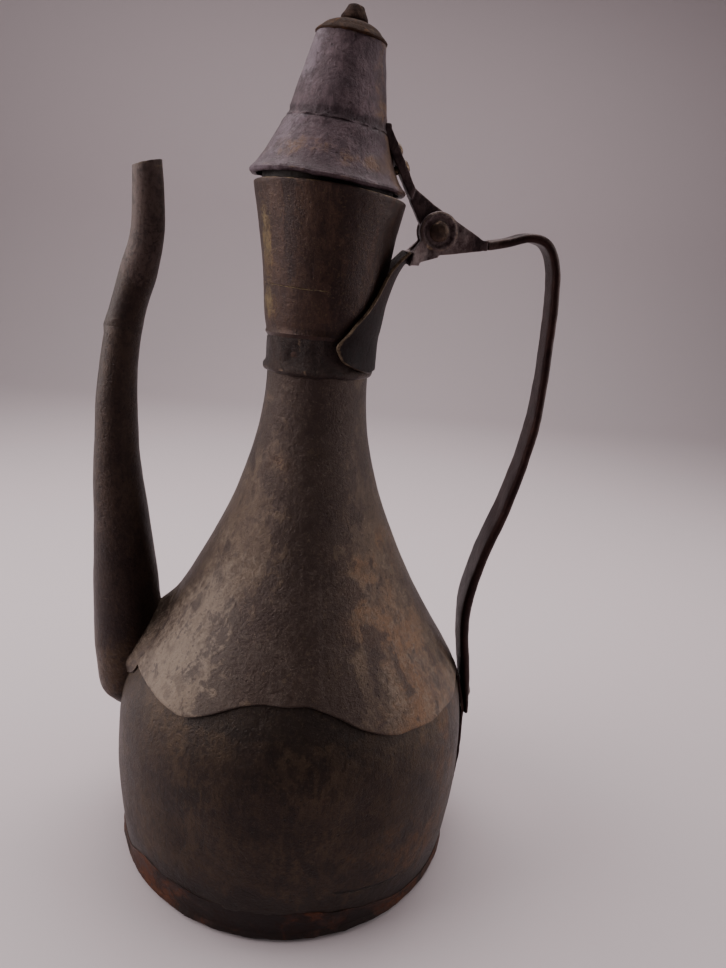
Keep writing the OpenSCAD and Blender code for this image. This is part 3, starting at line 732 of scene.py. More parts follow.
# ---- The ewer ---------------------------------------------------------------------------
@dataclass
class Outline:
    """The turned outline that drum and shoulder share, in millimetres."""

    foot_r: float = 74.0
    belly_r: float = 78.0
    belly_z: float = 76.0
    hip_r: float = 60.2
    hip_z: float = 102.0
    neck_r: float = 18.7
    neck_z: float = 214.0
    sheet: float = 1.2
    line: list[tuple[float, float]] = field(init=False)

    def __post_init__(self) -> None:
        """Draws the outline from its driving sizes."""
        run = self.neck_z - self.hip_z
        self.line = (
            bezier([(self.foot_r, 0), (self.belly_r + 0.4, 0.24 * self.belly_z),
                    (self.belly_r + 1.3, 0.76 * self.belly_z), (self.belly_r - 3.6, self.belly_z)],
                   24)
            + bezier([(self.belly_r - 3.6, self.belly_z), (self.belly_r - 5.7, self.belly_z + 8),
                      (self.hip_r + 5.8, self.hip_z - 9), (self.hip_r, self.hip_z)], 16)[1:]
            + bezier([(self.hip_r, self.hip_z), (self.hip_r - 0.163 * run, self.hip_z + 0.26 * run),
                      (self.neck_r, self.neck_z - 0.375 * run), (self.neck_r, self.neck_z)], 40)[1:]
            + [(self.neck_r, self.neck_z + 12)])

    def at(self, z: float) -> float:
        """Radius of the outline at the height z."""
        return read_line(self.line, z)


@dataclass
class Part:
    """A sub-assembly: it dresses its pieces and puts them on their body."""

    finishes: Finishes
    outline: Outline
    body: str = "pot"

    def dress(self, piece: bpy.types.Object, finish: bpy.types.Material, slot: str, node: str,
              angle: float = 42.0) -> None:
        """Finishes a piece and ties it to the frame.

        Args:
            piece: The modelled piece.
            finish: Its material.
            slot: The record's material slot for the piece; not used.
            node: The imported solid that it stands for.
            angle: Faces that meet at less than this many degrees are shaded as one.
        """
        piece.data.materials.clear()
        piece.data.materials.append(finish)
        Bench.polish(piece, angle)
        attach(piece, self.body)
        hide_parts(node)
        LOG.info("%s: %d points", node, len(piece.data.vertices))


@dataclass
class Foot(Part):
    """The flat pan that the pot stands on and the rusted band crimped round it."""

    rest_r: float = 68.0
    lift: float = 2.1
    band_low: float = 4.8
    band_high: float = 15.0

    def build(self) -> None:
        """Makes pan and band."""
        self.pan()
        self.band()

    def band_top(self, angle: float) -> float:
        """Height of the band's ragged upper edge at a compass angle."""
        front = 6.5 + 9.5 * ease(-156, -136, angle) * (1 - ease(-84, -40, angle))
        if angle > -40:
            front = 6.5 - 1.5 * bell(angle, -28, 26) + 4.5 * ease(20, 80, angle)
        ragged = flutter(math.cos(math.radians(angle)) * 9, math.sin(math.radians(angle)) * 9, 1.0)
        return front + 1.3 * ragged

    def pan(self) -> None:
        """A dished pan: flat rest, step up and a wall inside the drum."""
        wall = self.outline.at(8) - self.outline.sheet - GAP
        line = [(4, 0), (22, 0), (44, 0), (60, 0), (self.rest_r - 0.8, 0), (self.rest_r, 0.5),
                (self.rest_r, self.lift - 0.3), (self.rest_r + 0.6, self.lift),
                (wall - 4.2, self.lift), (wall - 3.0, self.lift + 0.6), (wall - 1.9, 6),
                (wall, 12.5)]
        piece = Bench.raise_wall("base_pan", line, 128, floor=False)
        Bench.pick(piece)
        Bench.enter("DESELECT")
        Bench.leave()
        for vertex in piece.data.vertices:
            vertex.select = vertex.co.xy.length < 5 * MM
        bpy.ops.object.mode_set(mode="EDIT")
        bpy.ops.mesh.edge_face_add()
        Bench.leave()
        Bench.thicken(piece, self.outline.sheet, 0)
        Bench.paint(piece, Mark.WEAR, lambda p: 0.25 if p.z < 0.2 else 0.0)
        self.dress(piece, self.finishes.foot, "foot_metal", "base_pan")

    def band(self) -> None:
        """The crimped hoop, its upper edge eaten away unevenly."""
        out = GAP + 0.32
        low = [(self.rest_r + 0.4, 1.1), (72.0, 1.0), (self.outline.at(2) + 0.8, 1.1),
               (self.outline.at(2) + 1.5, 1.7), (self.outline.at(3) + 1.4, 2.8),
               (self.outline.at(4) + 0.8, 4.0)]
        line = low + even_line(self.outline.line, self.band_low, self.band_high, 0.75, out)
        piece = Bench.raise_wall("foot_band", line, 224)

        def eaten(p: Vector) -> Vector:
            """Eats the hoop's top edge to its ragged line.

            Args:
                p: A point of the mesh.

            Returns:
                Where the point goes.
            """
            angle = around(p)
            if p.z > self.band_low:
                share = (p.z - self.band_low) / (self.band_high - self.band_low)
                z = self.band_low + share * (max(5.2, self.band_top(angle)) - self.band_low)
                radius = self.outline.at(z) + out + 0.18 * rough_wave(p, 3.0) - 0.25 * share**6
                way = p.xy.normalized() * radius
                return Vector((way.x, way.y, z))
            if p.xy.length > 73:
                beaten = 0.35 * rough_wave(p, 6.0, 3.0) + 0.2 * rough_wave(p, 2.0, 5.0)
                grow = 1 + beaten / p.xy.length
                return Vector((p.x * grow, p.y * grow, p.z + 0.25 * rough_wave(p, 14.0, 7.0)))
            return p

        Bench.shape(piece, eaten)
        Bench.thicken(piece, 0.3, 0.08)
        Bench.paint(piece, Mark.WARM, lambda p: 0.5 + 0.5 * rough_wave(p, 16.0, 2.0))
        Bench.paint(piece, Mark.STAIN, lambda p: bell(around(p), -98, 30))
        self.dress(piece, self.finishes.foot, "foot_metal", "foot_band")


@dataclass
class Body(Part):
    """The drum and the shoulder that laps over it with a scalloped hem."""

    low: float = 2.1
    drum_top: float = 103.0
    hem: float = 88.0
    arch: float = 12.0
    top: float = 221.0

    def build(self) -> None:
        """Makes drum and shoulder."""
        self.drum()
        self.shoulder()

    def hem_at(self, angle: float) -> float:
        """Height of the shoulder's lower edge at a compass angle."""
        front = ease(-130, -100, angle) * (1 - ease(-86, -54, angle))
        back = ease(54, 80, angle) * (1 - ease(104, 128, angle))
        fall = 3.5 * bell(angle, -20, 24) + 2.0 * bell(angle, 22, 26) - 2.2 * bell(angle, -142, 22)
        wobble = 0.6 * flutter(angle / 9, 3.1, 0.0)
        return self.hem + self.arch * (front + back) - fall + wobble

    def dented(self, p: Vector) -> float:
        """How far the sheet stands out or in from the true outline."""
        swell = 0.55 * rough_wave(p, 46.0, 1.0) + 0.28 * rough_wave(p, 19.0, 4.0)
        beaten = 0.10 * rough_wave(p, 7.5, 9.0)
        angle = around(p)
        dent = (-1.1 * bell(angle, -68, 7) * bell(p.z, 58, 9)
                - 0.8 * bell(angle, -118, 9) * bell(p.z, 44, 12))
        return swell + beaten + dent

    def drum(self) -> None:
        """The lower wall, from the foot up to under the shoulder."""
        line = even_line(self.outline.line, self.low, self.drum_top, 1.5)
        piece = Bench.raise_wall("drum", line, 224)

        def beat(p: Vector) -> Vector:
            """Beats the drum's wall and keeps its two ends calm.

            Args:
                p: A point of the mesh.

            Returns:
                Where the point goes.
            """
            calm = ease(2, 18, p.z) * ease(103, 84, p.z)
            radius = self.outline.at(p.z) + calm * self.dented(p)
            way = p.xy.normalized() * radius
            return Vector((way.x, way.y, p.z))

        Bench.shape(piece, beat)
        Bench.thicken(piece, self.outline.sheet)
        # Darker down the front middle, partly stained and partly painted shade; darker towards the
        # bottom; a painted shadow under the shoulder's hem above z 86 to 92; and stained blotches.
        Bench.paint(piece, Mark.STAIN,
                    lambda p: 0.5 * bell(around(p), -92, 34) + 0.8 * ease(27, 16, p.z)
                    + 0.9 * ease(86, 92, p.z) + 0.35 * rough_wave(p, 22.0, 5.0))
        Bench.paint(piece, Mark.WARM, lambda p: 0.6 * bell(around(p), -50, 22) * bell(p.z, 30, 22)
                    + 0.5 * bell(around(p), -28, 14) * bell(p.z, 70, 22))
        # Dusty patches and painted highlight: pale on the left of the belly and on the right flank.
        Bench.paint(piece, Mark.DUST, lambda p: 0.5 * facing(p, -158, 18) * bell(p.z, 76, 16)
                    + 0.35 * bell(around(p), -30, 14))
        self.dress(piece, self.finishes.drum, "drum_metal", "drum")

    def shoulder(self) -> None:
        """The tall shoulder and neck, its hem scalloped and pulled out at the lobes."""
        line = ([(read_line(self.outline.line, z) + self.outline.sheet + GAP, z)
                 for z in [self.hem + 0.9 * i for i in range(1, 16)]])
        first = [(self.outline.at(self.hem) + self.outline.sheet + GAP, self.hem)]
        rest = even_line(self.outline.line, self.hem + 15, self.top, 1.55, self.outline.sheet + GAP)
        piece = Bench.raise_wall("shoulder", first + line + rest, 256)
        settle_z = 128.0

        def beat(p: Vector) -> Vector:
            """Sets the hem on the drum and beats the sheet above it.

            Args:
                p: A point of the mesh.

            Returns:
                Where the point goes.
            """
            angle = around(p)
            share = max(0.0, (settle_z - p.z) / (settle_z - self.hem))
            z = p.z + share * (self.hem_at(angle) - self.hem)
            lobes = lobe(angle, -133, 15) + lobe(angle, -47, 16)
            lobes += lobe(angle, 47, 16) + lobe(angle, 133, 15)
            pull = 1.5 * lobes * ease(122, 90, z) - 0.4 * lobe(angle, -95, 14) * ease(120, 98, z)
            lip = 0.25 * share**10
            seam = 0.45 * lobe(angle, -82, 1.6) * ease(99, 106, z) * ease(150, 132, z)
            calm = ease(216, 196, z) * ease(84, 98, z)
            radius = (self.outline.at(z) + self.outline.sheet + GAP + pull + lip + seam
                      + calm * 0.8 * self.dented(p))
            way = p.xy.normalized() * radius
            return Vector((way.x, way.y, z))

        Bench.shape(piece, beat)
        Bench.thicken(piece, self.outline.sheet, 0.4)

        def stains_and_shade(p: Vector) -> float:
            """Spreads stained marks and painted shade round the wall.

            Args:
                p: A point of the mesh.

            Returns:
                How strong the mark is there.
            """
            angle = around(p)
            # A stained band and painted shade down the front middle, then the dark seam line.
            middle = 0.75 * lobe(angle, -84, 17) + 0.5 * lobe(angle, -90, 34)
            line = 1.3 * lobe(angle, -82, 2.2) * ease(99, 106, p.z) * ease(152, 138, p.z)
            blots = 0.75 * lobe(angle, -114, 13) * bell(p.z, 114, 17)
            blots += 0.3 * ease(0.0, 0.5, rough_wave(p, 12.0, 3.0))
            drips = 0.55 * flutter(angle / 5.5, p.z / 26, 3.0) * ease(175, 150, p.z)
            # The last term darkens the wall towards the neck.
            return middle + line + blots + drips + 0.55 * ease(150, 196, p.z)

        Bench.paint(piece, Mark.STAIN, stains_and_shade)
        # Dusty patches and painted highlight: pale on the upper front lobes, most on the left one.
        Bench.paint(piece, Mark.DUST, lambda p: 0.9 * facing(p, -135, 26) * ease(170, 112, p.z)
                    + 0.35 * facing(p, -40, 24) * ease(170, 110, p.z)
                    + 0.3 * rough_wave(p, 15.0, 6.0))
        Bench.paint(piece, Mark.WARM, lambda p: 0.75 * facing(p, -44, 26) * ease(178, 120, p.z)
                    + 0.4 * rough_wave(p, 20.0, 2.0))
        Bench.paint(piece, Mark.WEAR, lambda p: 0.5 * bell(p.z, self.hem_at(around(p)) + 0.3, 0.5)
                    * (0.5 + 0.5 * rough_wave(p, 9.0, 8.0)))
        self.dress(piece, self.finishes.shoulder, "shoulder_metal", "shoulder")


@dataclass
class Mouth(Part):
    """The collar over the neck joint and the flared cup above it."""

    collar_low: float = 214.0
    rim_r: float = 28.4
    rim_z: float = 278.8

    def build(self) -> None:
        """Makes collar and cup."""
        self.collar()
        self.cup()

    def cup_line(self) -> list[tuple[float, float]]:
        """Outside of the cup, from inside the collar up past the rim."""
        neck = self.outline.neck_r + self.outline.sheet + GAP
        return ([(neck, 221.1), (neck, 226.0)]
                + bezier([(neck, 226.0), (neck + 3.2, 231.8), (self.rim_r - 6.2, 251.9),
                          (self.rim_r, self.rim_z + 1.2)], 30)[1:])

    def rim_at(self, angle: float) -> float:
        """Height of the rim at a compass angle: high at the front left, low behind."""
        turn = math.radians(angle)
        return self.rim_z + 0.6 - 1.7 * math.cos(turn) - 2.5 * math.sin(turn)

    def collar(self) -> None:
        """A dented band with a puckered bead along its lower edge."""
        neck = self.outline.neck_r + self.outline.sheet + 0.1
        line = [(neck + 0.9, self.collar_low - 0.3), (neck + 1.4, self.collar_low + 0.2),
                (neck + 1.75, self.collar_low + 1.2), (neck + 1.6, self.collar_low + 2.3),
                (neck + 0.9, self.collar_low + 3.1), (neck + 0.7, self.collar_low + 4.0)]
        line += [(neck + 0.7, z) for z in (219, 220, 221, 222, 223, 224, 225)]
        line += [(neck + 0.7, 225.6), (neck + 0.65, 226.0), (neck + 0.5, 226.3)]
        piece = Bench.raise_wall("neck_collar", line, 176)

        def pucker(p: Vector) -> Vector:
            """Puckers the collar where it laps over the neck.

            Args:
                p: A point of the mesh.

            Returns:
                Where the point goes.
            """
            angle = around(p)
            rise = -math.sin(math.radians(angle))
            tilt = (0.6 + 2.3 * ease(216, 226, p.z)) * rise * (1 if rise > 0 else 0.5)
            wave = 0.55 * flutter(angle / 17, 0.4, 2.0) * ease(220, 214, p.z)
            dent = (-0.9 * bell(angle, -118, 9) * bell(p.z, 220, 3)
                    - 0.5 * bell(angle, -93, 6) * bell(p.z, 222, 3))
            beaten = 0.28 * rough_wave(p, 4.5, 6.0) * ease(227, 224, p.z)
            grow = dent + beaten + 0.12 * rough_wave(p, 1.8, 2.0)
            way = p.xy.normalized() * (p.xy.length + grow)
            return Vector((way.x, way.y, p.z + tilt + wave))

        Bench.shape(piece, pucker)
        Bench.thicken(piece, 0.6, 0.15)
        # Painted glints as bright patches on the front left, and the bead's lower edge rubbed
        # bright.
        Bench.paint(piece, Mark.WEAR,
                    lambda p: 0.55 * facing(p, -112, 24) * ease(0.05, 0.5, rough_wave(p, 3.0, 6.0))
                    + 0.5 * bell(p.z, 215.5, 0.8) * (0.5 + rough_wave(p, 6.0)))
        Bench.paint(piece, Mark.WARM, lambda p: 0.6 * facing(p, -40, 20))
        self.dress(piece, self.finishes.collar, "collar_metal", "neck_collar")

    def cup(self) -> None:
        """The flared cup, its rim bent and rubbed bright."""
        full = self.cup_line()
        line = even_line(full, 221.1, self.rim_z + 0.6, 1.35)
        piece = Bench.raise_wall("mouth_cup", line, 192)
        top = self.rim_z + 0.6

        def beat(p: Vector) -> Vector:
            """Beats the cup and calms it towards the mouth.

            Args:
                p: A point of the mesh.

            Returns:
                Where the point goes.
            """
            angle = around(p)
            share = ease(232, top, p.z)
            z = p.z + share * (self.rim_at(angle) - top)
            low_share = ease(222, 229, p.z) * (1 - share)
            z += 2.2 * low_share * max(0.0, -math.sin(math.radians(angle)))
            calm = ease(226, 238, p.z)
            bent = calm * (0.35 * rough_wave(p, 24.0, 3.0) + 0.16 * rough_wave(p, 9.0, 5.0))
            bent += 0.25 * share**12 * rough_wave(p, 6.0, 1.0)
            edge = -0.5 * bell(p.z, 266, 3.5) * lobe(angle, -20, 14)
            hem = 0.85 * bell(p.z, 227.6, 1.0)
            way = p.xy.normalized() * (read_line(full, p.z) + bent + edge + hem)
            return Vector((way.x, way.y, z))

        Bench.shape(piece, beat)
        Bench.thicken(piece, self.outline.sheet, 0.3)
        Bench.paint(piece, Mark.WEAR, lambda p: (0.62 * bell(p.z, self.rim_at(around(p)), 0.5)
                    * ease(-0.6, 0.2, rough_wave(p, 5.0, 2.0)))
                    + 0.55 * facing(p, -168, 4) * ease(228, 236, p.z) * ease(250, 244, p.z))
        Bench.paint(piece, Mark.WARM, lambda p: 0.9 * facing(p, -150, 14)
                    * (bell(p.z, 262, 14) + bell(p.z, 238, 7)))
        # Golden dusty patches and painted highlight on the left of the cup.
        Bench.paint(piece, Mark.DUST, lambda p: 0.9 * facing(p, -152, 13)
                    * (bell(p.z, 264, 13) + bell(p.z, 240, 8)))
        # A dark streak at the front left, painted shade over the right of the front, a painted
        # shade line in the groove between collar and cup hem, and dark streaks under the rim.
        Bench.paint(piece, Mark.STAIN, lambda p: 0.8 * facing(p, -122, 7) * ease(240, 256, p.z)
                    + 0.75 * facing(p, -62, 40) + bell(p.z, 226.6, 0.9)
                    + 0.5 * ease(262, 278, p.z)
                    * ease(-0.2, 0.5, flutter(around(p) / 4, p.z / 14, 2)))
        self.dress(piece, self.finishes.cup, "cup_metal", "mouth_cup")


@dataclass
class Spout(Part):
    """The long spout in two lapped tubes and the saddle soldered round its root."""

    root_z: float = 58.0
    joint_z: float = 225.2
    tip_z: float = 284.0
    wall: float = 1.1
    bend_z: float = 230.0
    tip_x: float = -68.0
    # Share of the way up, stand-out beyond the belly, width along X, depth along Y.
    stations: tuple[tuple[float, float, float, float], ...] = (
        (0.00, 0.5, 15, 18), (0.02, 6, 21, 25), (0.05, 10, 26, 31), (0.14, 11.5, 29.5, 34),
        (0.23, 11.5, 27.5, 31), (0.36, 11, 23.2, 25), (0.50, 10.2, 18.4, 19.4),
        (0.63, 8.6, 15.8, 16), (0.74, 4.4, 13.7, 14), (0.83, -1, 14, 14),
        (0.90, -5.4, 12.1, 12.2), (1.00, -6.2, 10.4, 10.8))
    joint: int = 8

    def build(self) -> None:
        """Makes both tubes and the saddle."""
        steps = 7
        rows = smooth_line(self.stations, steps)
        split = self.joint * steps
        self.tube("spout_lower", rows[:split + 3], True)
        self.tube("spout_upper", rows[split:], False)
        self.saddle()

    def tube(self, name: str, rows: Sequence[Sequence[float]], lower: bool) -> None:
        """One tapering oval tube with level rings.

        Args:
            name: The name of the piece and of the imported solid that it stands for.
            rows: Its stations from the bottom up.
            lower: Whether it is the tube at the root, which is cut to the body.
        """
        rise = self.tip_z - self.root_z

        def ring(row: Sequence[float]) -> tuple[float, float, float, float]:
            """Sizes one loop of the lower tube.

            Args:
                row: Share of the height, way out from the drum, width and depth.

            Returns:
                Middle along X, height, half width and half depth.
            """
            share, out, wide, deep = row
            x = -(self.outline.belly_r + out - wide / 2)
            return x, self.root_z + share * rise, wide / 2, deep / 2

        rings = [ring(row) for row in rows]
        x, z, rx, ry = rings[0]
        Bench.clear()
        bpy.ops.mesh.primitive_circle_add(vertices=72, radius=1 * MM, location=(0, 0, 0))
        piece = bpy.context.active_object
        piece.name = piece.data.name = name
        Bench.enter("SELECT")
        bpy.ops.transform.resize(value=(rx, ry, 1), center_override=(0, 0, 0))
        bpy.ops.transform.translate(value=(x * MM, 0, z * MM))
        if lower:
            bpy.ops.mesh.edge_face_add()
            bpy.ops.mesh.inset(thickness=3 * MM)
            bpy.ops.mesh.select_all(action="DESELECT")
            Bench.leave()
            limit = min(v.co.z for v in piece.data.vertices) - 1
            for vertex in piece.data.vertices:
                offset = Vector(((vertex.co.x / MM - x) / rx, vertex.co.y / MM / ry))
                vertex.select = offset.length > 0.95 and vertex.co.z > limit
            bpy.ops.object.mode_set(mode="EDIT")
        for (x0, z0, rx0, ry0), (x1, z1, rx1, ry1) in zip(rings, rings[1:]):
            bpy.ops.mesh.extrude_region_move(
                TRANSFORM_OT_translate={"value": ((x1 - x0) * MM, 0, (z1 - z0) * MM)})
            bpy.ops.transform.resize(
                value=(rx1 / rx0, ry1 / ry0, 1), center_override=(x1 * MM, 0, z1 * MM))
        Bench.leave()
        top = rings[-1]

        def beat(p: Vector) -> Vector:
            """Rounds, knots and trims the tube along its way up.

            Args:
                p: A point of the mesh.

            Returns:
                Where the point goes.
            """
            share = (p.z - self.root_z) / rise
            middle = Vector((-(self.outline.belly_r - 2), 0, p.z))
            if p.z > self.bend_z:
                middle.x = self.tip_x
            way = Vector((p.x - middle.x, p.y, 0))
            way = way.normalized() if way.length > 1 else Vector((0, 0, 0))
            soft = 0.38 * rough_wave(p, 22.0, 2.0) + 0.16 * rough_wave(p, 7.0, 6.0)
            side = math.degrees(math.atan2(way.y, way.x))
            knot = 1.5 * bell(p.z, 226.6, 1.5) * lobe(side, -168, 30)
            seam = 0.45 * bell(p.z, 226.4, 0.8)
            moved = p + way * (soft + knot + seam)
            if not lower:
                slant = 0.28 * (p.x + 66.6) + 0.25 * rough_wave(p, 2.5, 1.0)
                moved.z += ease(262, 284, p.z) * slant
            elif p.z > top[1] - 9:
                moved -= way * (1.3 * ease(self.joint_z, self.joint_z + 1.4, p.z))
            return moved

        Bench.shape(piece, beat)
        if lower:
            Bench.face_outwards(piece)
            Bench.modify(piece, "SOLIDIFY", thickness=self.wall * MM, offset=-1.0)
            self.cut_to_body(piece)
        else:
            Bench.thicken(piece, self.wall, 0.22)
        Bench.paint(piece, Mark.WEAR, lambda p: 0.6 * bell(p.z, self.tip_z - 0.5, 1.2)
                    + 0.35 * bell(p.z, 226, 1.6) * (0.5 + rough_wave(p, 3.0)))
        Bench.paint(piece, Mark.DUST,
                    lambda p: 0.9 * ease(222, 258, p.z) + 0.5 * ease(120, 80, p.z))
        Bench.paint(piece, Mark.WARM,
                    lambda p: 0.7 * ease(140, 80, p.z) + 0.3 * ease(240, 270, p.z))
        self.dress(piece, self.finishes.spout, "spout_metal", name)

    def cut_to_body(self, piece: bpy.types.Object) -> None:
        """Cuts the tube's root to the saddle's surface."""
        line = [(r - 1.8 * ease(90, 80, z), z)
                for r, z in even_line(self.outline.line, 40, 130, 3.0, 2.0)]
        cutter = Bench.raise_wall("cutter", line, 160, top=True)
        Bench.close(cutter)
        Bench.modify(piece, "BOOLEAN", operation="DIFFERENCE", object=cutter, solver="EXACT")
        bpy.data.objects.remove(cutter)

    def saddle(self) -> None:
        """A hammered patch on the body that swells up to the tube."""
        Bench.clear()
        bpy.ops.mesh.primitive_circle_add(vertices=96, radius=1 * MM, fill_type="NGON")
        piece = bpy.context.active_object
        piece.name = piece.data.name = "spout_saddle"
        Bench.enter("SELECT")
        rings = 14
        for _ in range(rings):
            bpy.ops.mesh.inset(thickness=0.5 / rings * MM)
        bpy.ops.mesh.delete(type="FACE")
        Bench.leave()
        middle_z, half_z = 88.0, 28.0

        def lay(p: Vector) -> Vector:
            """Lays the patch on the drum round the spout's root.

            Args:
                p: A point of the mesh.

            Returns:
                Where the point goes.
            """
            share = p.xy.length
            turn = math.atan2(p.y, p.x)
            z = middle_z + half_z * share * math.sin(turn)
            half_y = 23.0 - 9.0 * ease(90, 118, z) - 9.5 * ease(86, 77, z)
            y = half_y * share * math.cos(turn) + 0.8 * flutter(turn * 3, share * 2, 5.0)
            swell = 1.3 + 3.6 * ease(0.98, 0.60, share) * ease(62, 90, z)
            radius = self.outline.at(z) + swell + 0.2 * rough_wave(Vector((0, y, z)), 5.0)
            return Vector((-math.sqrt(max(1.0, radius * radius - y * y)), y, z))

        Bench.shape(piece, lay)
        Bench.thicken(piece, 0.9, 0.3)
        Bench.paint(piece, Mark.DUST, lambda p: 0.3)
        Bench.paint(piece, Mark.STAIN,
                    lambda p: 0.9 * ease(96, 74, p.z) + 0.5 * ease(0, 0.5, rough_wave(p, 9.0)))
        Bench.paint(piece, Mark.WEAR, lambda p: 0.35 * ease(0.1, 0.7, rough_wave(p, 8.0)))
        self.dress(piece, self.finishes.shoulder, "shoulder_metal", "spout_saddle")


@dataclass
class Hinge(Part):
    """The leaf on the neck, the forged fork and the peened pin."""

    pin_x: float = 41.1
    pin_z: float = 270.1
    cheek_out: float = 6.2

    def build(self) -> None:
        """Makes leaf, fork and pin."""
        self.leaf()
        self.fork()
        self.pin()

    def leaf(self) -> None:
        """A spade-shaped plate that lies round the neck and leans out to the fork."""
        low, high = 216.5, 262.0
        Bench.clear()
        bpy.ops.mesh.primitive_grid_add(x_subdivisions=28, y_subdivisions=44, size=2 * MM)
        piece = bpy.context.active_object
        piece.name = piece.data.name = "neck_leaf"
        cup = Mouth(self.finishes, self.outline).cup_line()
        away = smooth_line([(22.0, 216.0), (22.1, 228.0), (23.0, 236.0), (24.6, 244.0),
                            (26.8, 252.0),
                            (29.2, 257.0), (33.4, 262.4)], 6)
        sides = smooth_line([(30.0, 216.5), (52.0, 218.6), (67.0, 221.4), (73.0, 225.0),
                             (70.0, 228.6),
                             (62.0, 233.5), (50.0, 238.6), (40.0, 245.0), (33.0, 252.0),
                             (28.0, 257.5),
                             (23.0, 262.0)], 6)

        def lay(p: Vector) -> Vector:
            """Lays the leaf on the neck and spreads it to its outline.

            Args:
                p: A point of the mesh.

            Returns:
                Where the point goes.
            """
            share = (p.y + 1) / 2
            z = low + (high - low) * share
            half = read_line(sides, z)
            half *= 1 + 0.05 * flutter(z / 5, math.copysign(2, p.x), 0)
            turn = math.radians(p.x * half)
            curl = 0.9 * abs(p.x) ** 4 * ease(258, 240, z)
            clear = max(read_line(away, z), read_line(cup, z - 1.2) + 1.35)
            radius = clear + curl + 0.15 * rough_wave(p * 12, 5.0)
            return Vector((radius * math.cos(turn), radius * math.sin(turn), z))

        Bench.shape(piece, lay)
        Bench.face_outwards(piece)
        Bench.modify(piece, "SOLIDIFY", thickness=1.2 * MM, offset=0.0)
        Bench.soften(piece, 0.3)

        def edge(p: Vector) -> float:
            """Rubs the leaf's edge bright.

            Args:
                p: A point of the mesh.

            Returns:
                How strong the mark is there.
            """
            half = max(read_line(sides, p.z), 1.0)
            return (0.62 * ease(0.90, 0.98, abs(around(p)) / half)
                    + 0.2 * ease(0.2, 0.8, rough_wave(p, 6.0, 4.0)))

        Bench.paint(piece, Mark.WEAR, edge)
        Bench.paint(piece, Mark.STAIN, lambda p: 0.9 * ease(250, 235, p.z))
        self.dress(piece, self.finishes.leaf, "hinge_metal", "neck_leaf")

    def web(self) -> bpy.types.Object:
        """The thick root where the fork's arms run into the leaf."""
        Bench.clear()
        bpy.ops.mesh.primitive_cube_add(size=2 * MM)
        piece = bpy.context.active_object

        def wedge(p: Vector) -> Vector:
            """Spreads a block into the web between the fork's cheeks.

            Args:
                p: A point of the mesh.

            Returns:
                Where the point goes.
            """
            out, up = (p.x + 1) / 2, (p.z + 1) / 2
            low = Vector((30.4 + 11.6 * out, 0, 257.2 + 3.8 * out))
            high = Vector((31.8 + 8.0 * out, 0, 262.0 + 1.2 * out))
            spot = low.lerp(high, up)
            return Vector((spot.x, 6.6 * p.y, spot.z))

        Bench.shape(piece, wedge)
        return piece

    def fork(self) -> None:
        """The forged fork: soft bosses, a wing to the bar and arms to the leaf."""
        piece = Bench.join("hinge_fork", [Bench.from_solid("hinge_fork", "hinge_fork"), self.web()])
        Bench.forge(piece, 0.32, 5)

        def hammer(p: Vector) -> Vector:
            """Hammers the fork's cheeks and keeps the eye round.

            Args:
                p: A point of the mesh.

            Returns:
                Where the point goes.
            """
            spot = Vector((p.x - self.pin_x, 0, p.z - self.pin_z))
            outer = ease(3.4, 6.0, abs(p.y))
            ring = 0.45 * bell(spot.length, 6.0, 0.9) - 0.35 * bell(spot.length, 4.6, 0.7)
            side = math.copysign(1, p.y)
            dents = 0.22 * rough_wave(p, 2.6, 3.0) + 0.12 * rough_wave(p, 1.2, 8.0)
            arm = 1 + 0.90 * ease(38, 31, p.x) * ease(268, 263, p.z)
            return Vector((p.x + 0.12 * rough_wave(p, 3.0, 5.0),
                           (p.y + side * outer * (ring + dents)) * arm,
                           p.z + 0.12 * rough_wave(p, 3.4, 6.0)))

        Bench.shape(piece, hammer)

        def rubbed(p: Vector) -> float:
            """Rubs the cheeks bright round the pin.

            Args:
                p: A point of the mesh.

            Returns:
                How strong the mark is there.
            """
            spot = Vector((p.x - self.pin_x, 0, p.z - self.pin_z)).length
            ring = bell(spot, 6.6, 0.6) * ease(5.4, 6.2, abs(p.y))
            return 0.62 * ring + 0.35 * ease(0.1, 0.8, rough_wave(p, 4.0, 1.0))

        Bench.paint(piece, Mark.WEAR, rubbed)
        Bench.paint(piece, Mark.DUST, lambda p: 0.7 * ease(58, 48, p.x) + 0.4 * rough_wave(p, 6.0))
        Bench.paint(piece, Mark.STAIN,
                    lambda p: 0.7 * ease(49, 60, p.x) + 0.5 * ease(264, 258, p.z))
        self.dress(piece, self.finishes.hinge, "hinge_metal", "hinge_fork")

    def pin(self) -> None:
        """A pin with two heads hammered over into uneven domes."""
        seat = self.cheek_out + 0.15
        line = [(2.0, -seat), (3.7, -seat), (3.8, -seat - 0.5), (3.1, -seat - 1.2),
                (1.7, -seat - 1.6)]
        flip = [(r, -z) for r, z in reversed(line)]
        whole = list(reversed(line)) + [(2.0, -2.0), (2.0, 2.0)] + list(reversed(flip))
        piece = Bench.raise_wall("hinge_pin", whole, 40, top=True)
        Bench.close(piece)
        Bench.soften(piece, 0.25, 30)
        piece.matrix_world = (Matrix.Translation(Vector((self.pin_x, 0, self.pin_z)) * MM)
                              @ Matrix.Rotation(math.radians(90), 4, "X"))
        Bench.settle(piece)

        def peen(p: Vector) -> Vector:
            """Peens the pin's two heads.

            Args:
                p: A point of the mesh.

            Returns:
                Where the point goes.
            """
            if abs(p.y) < self.cheek_out + 0.3:
                return p
            return p + Vector((0.22 * rough_wave(p, 1.8, 2.0), 0.28 * rough_wave(p, 1.4, 7.0),
                               0.22 * rough_wave(p, 1.8, 4.0)))

        Bench.shape(piece, peen)
        Bench.paint(piece, Mark.WEAR, lambda p: 0.2 + 0.6 * rough_wave(p, 1.6, 3.0))
        self.dress(piece, self.finishes.rivet, "rivet_metal", "hinge_pin", 60)


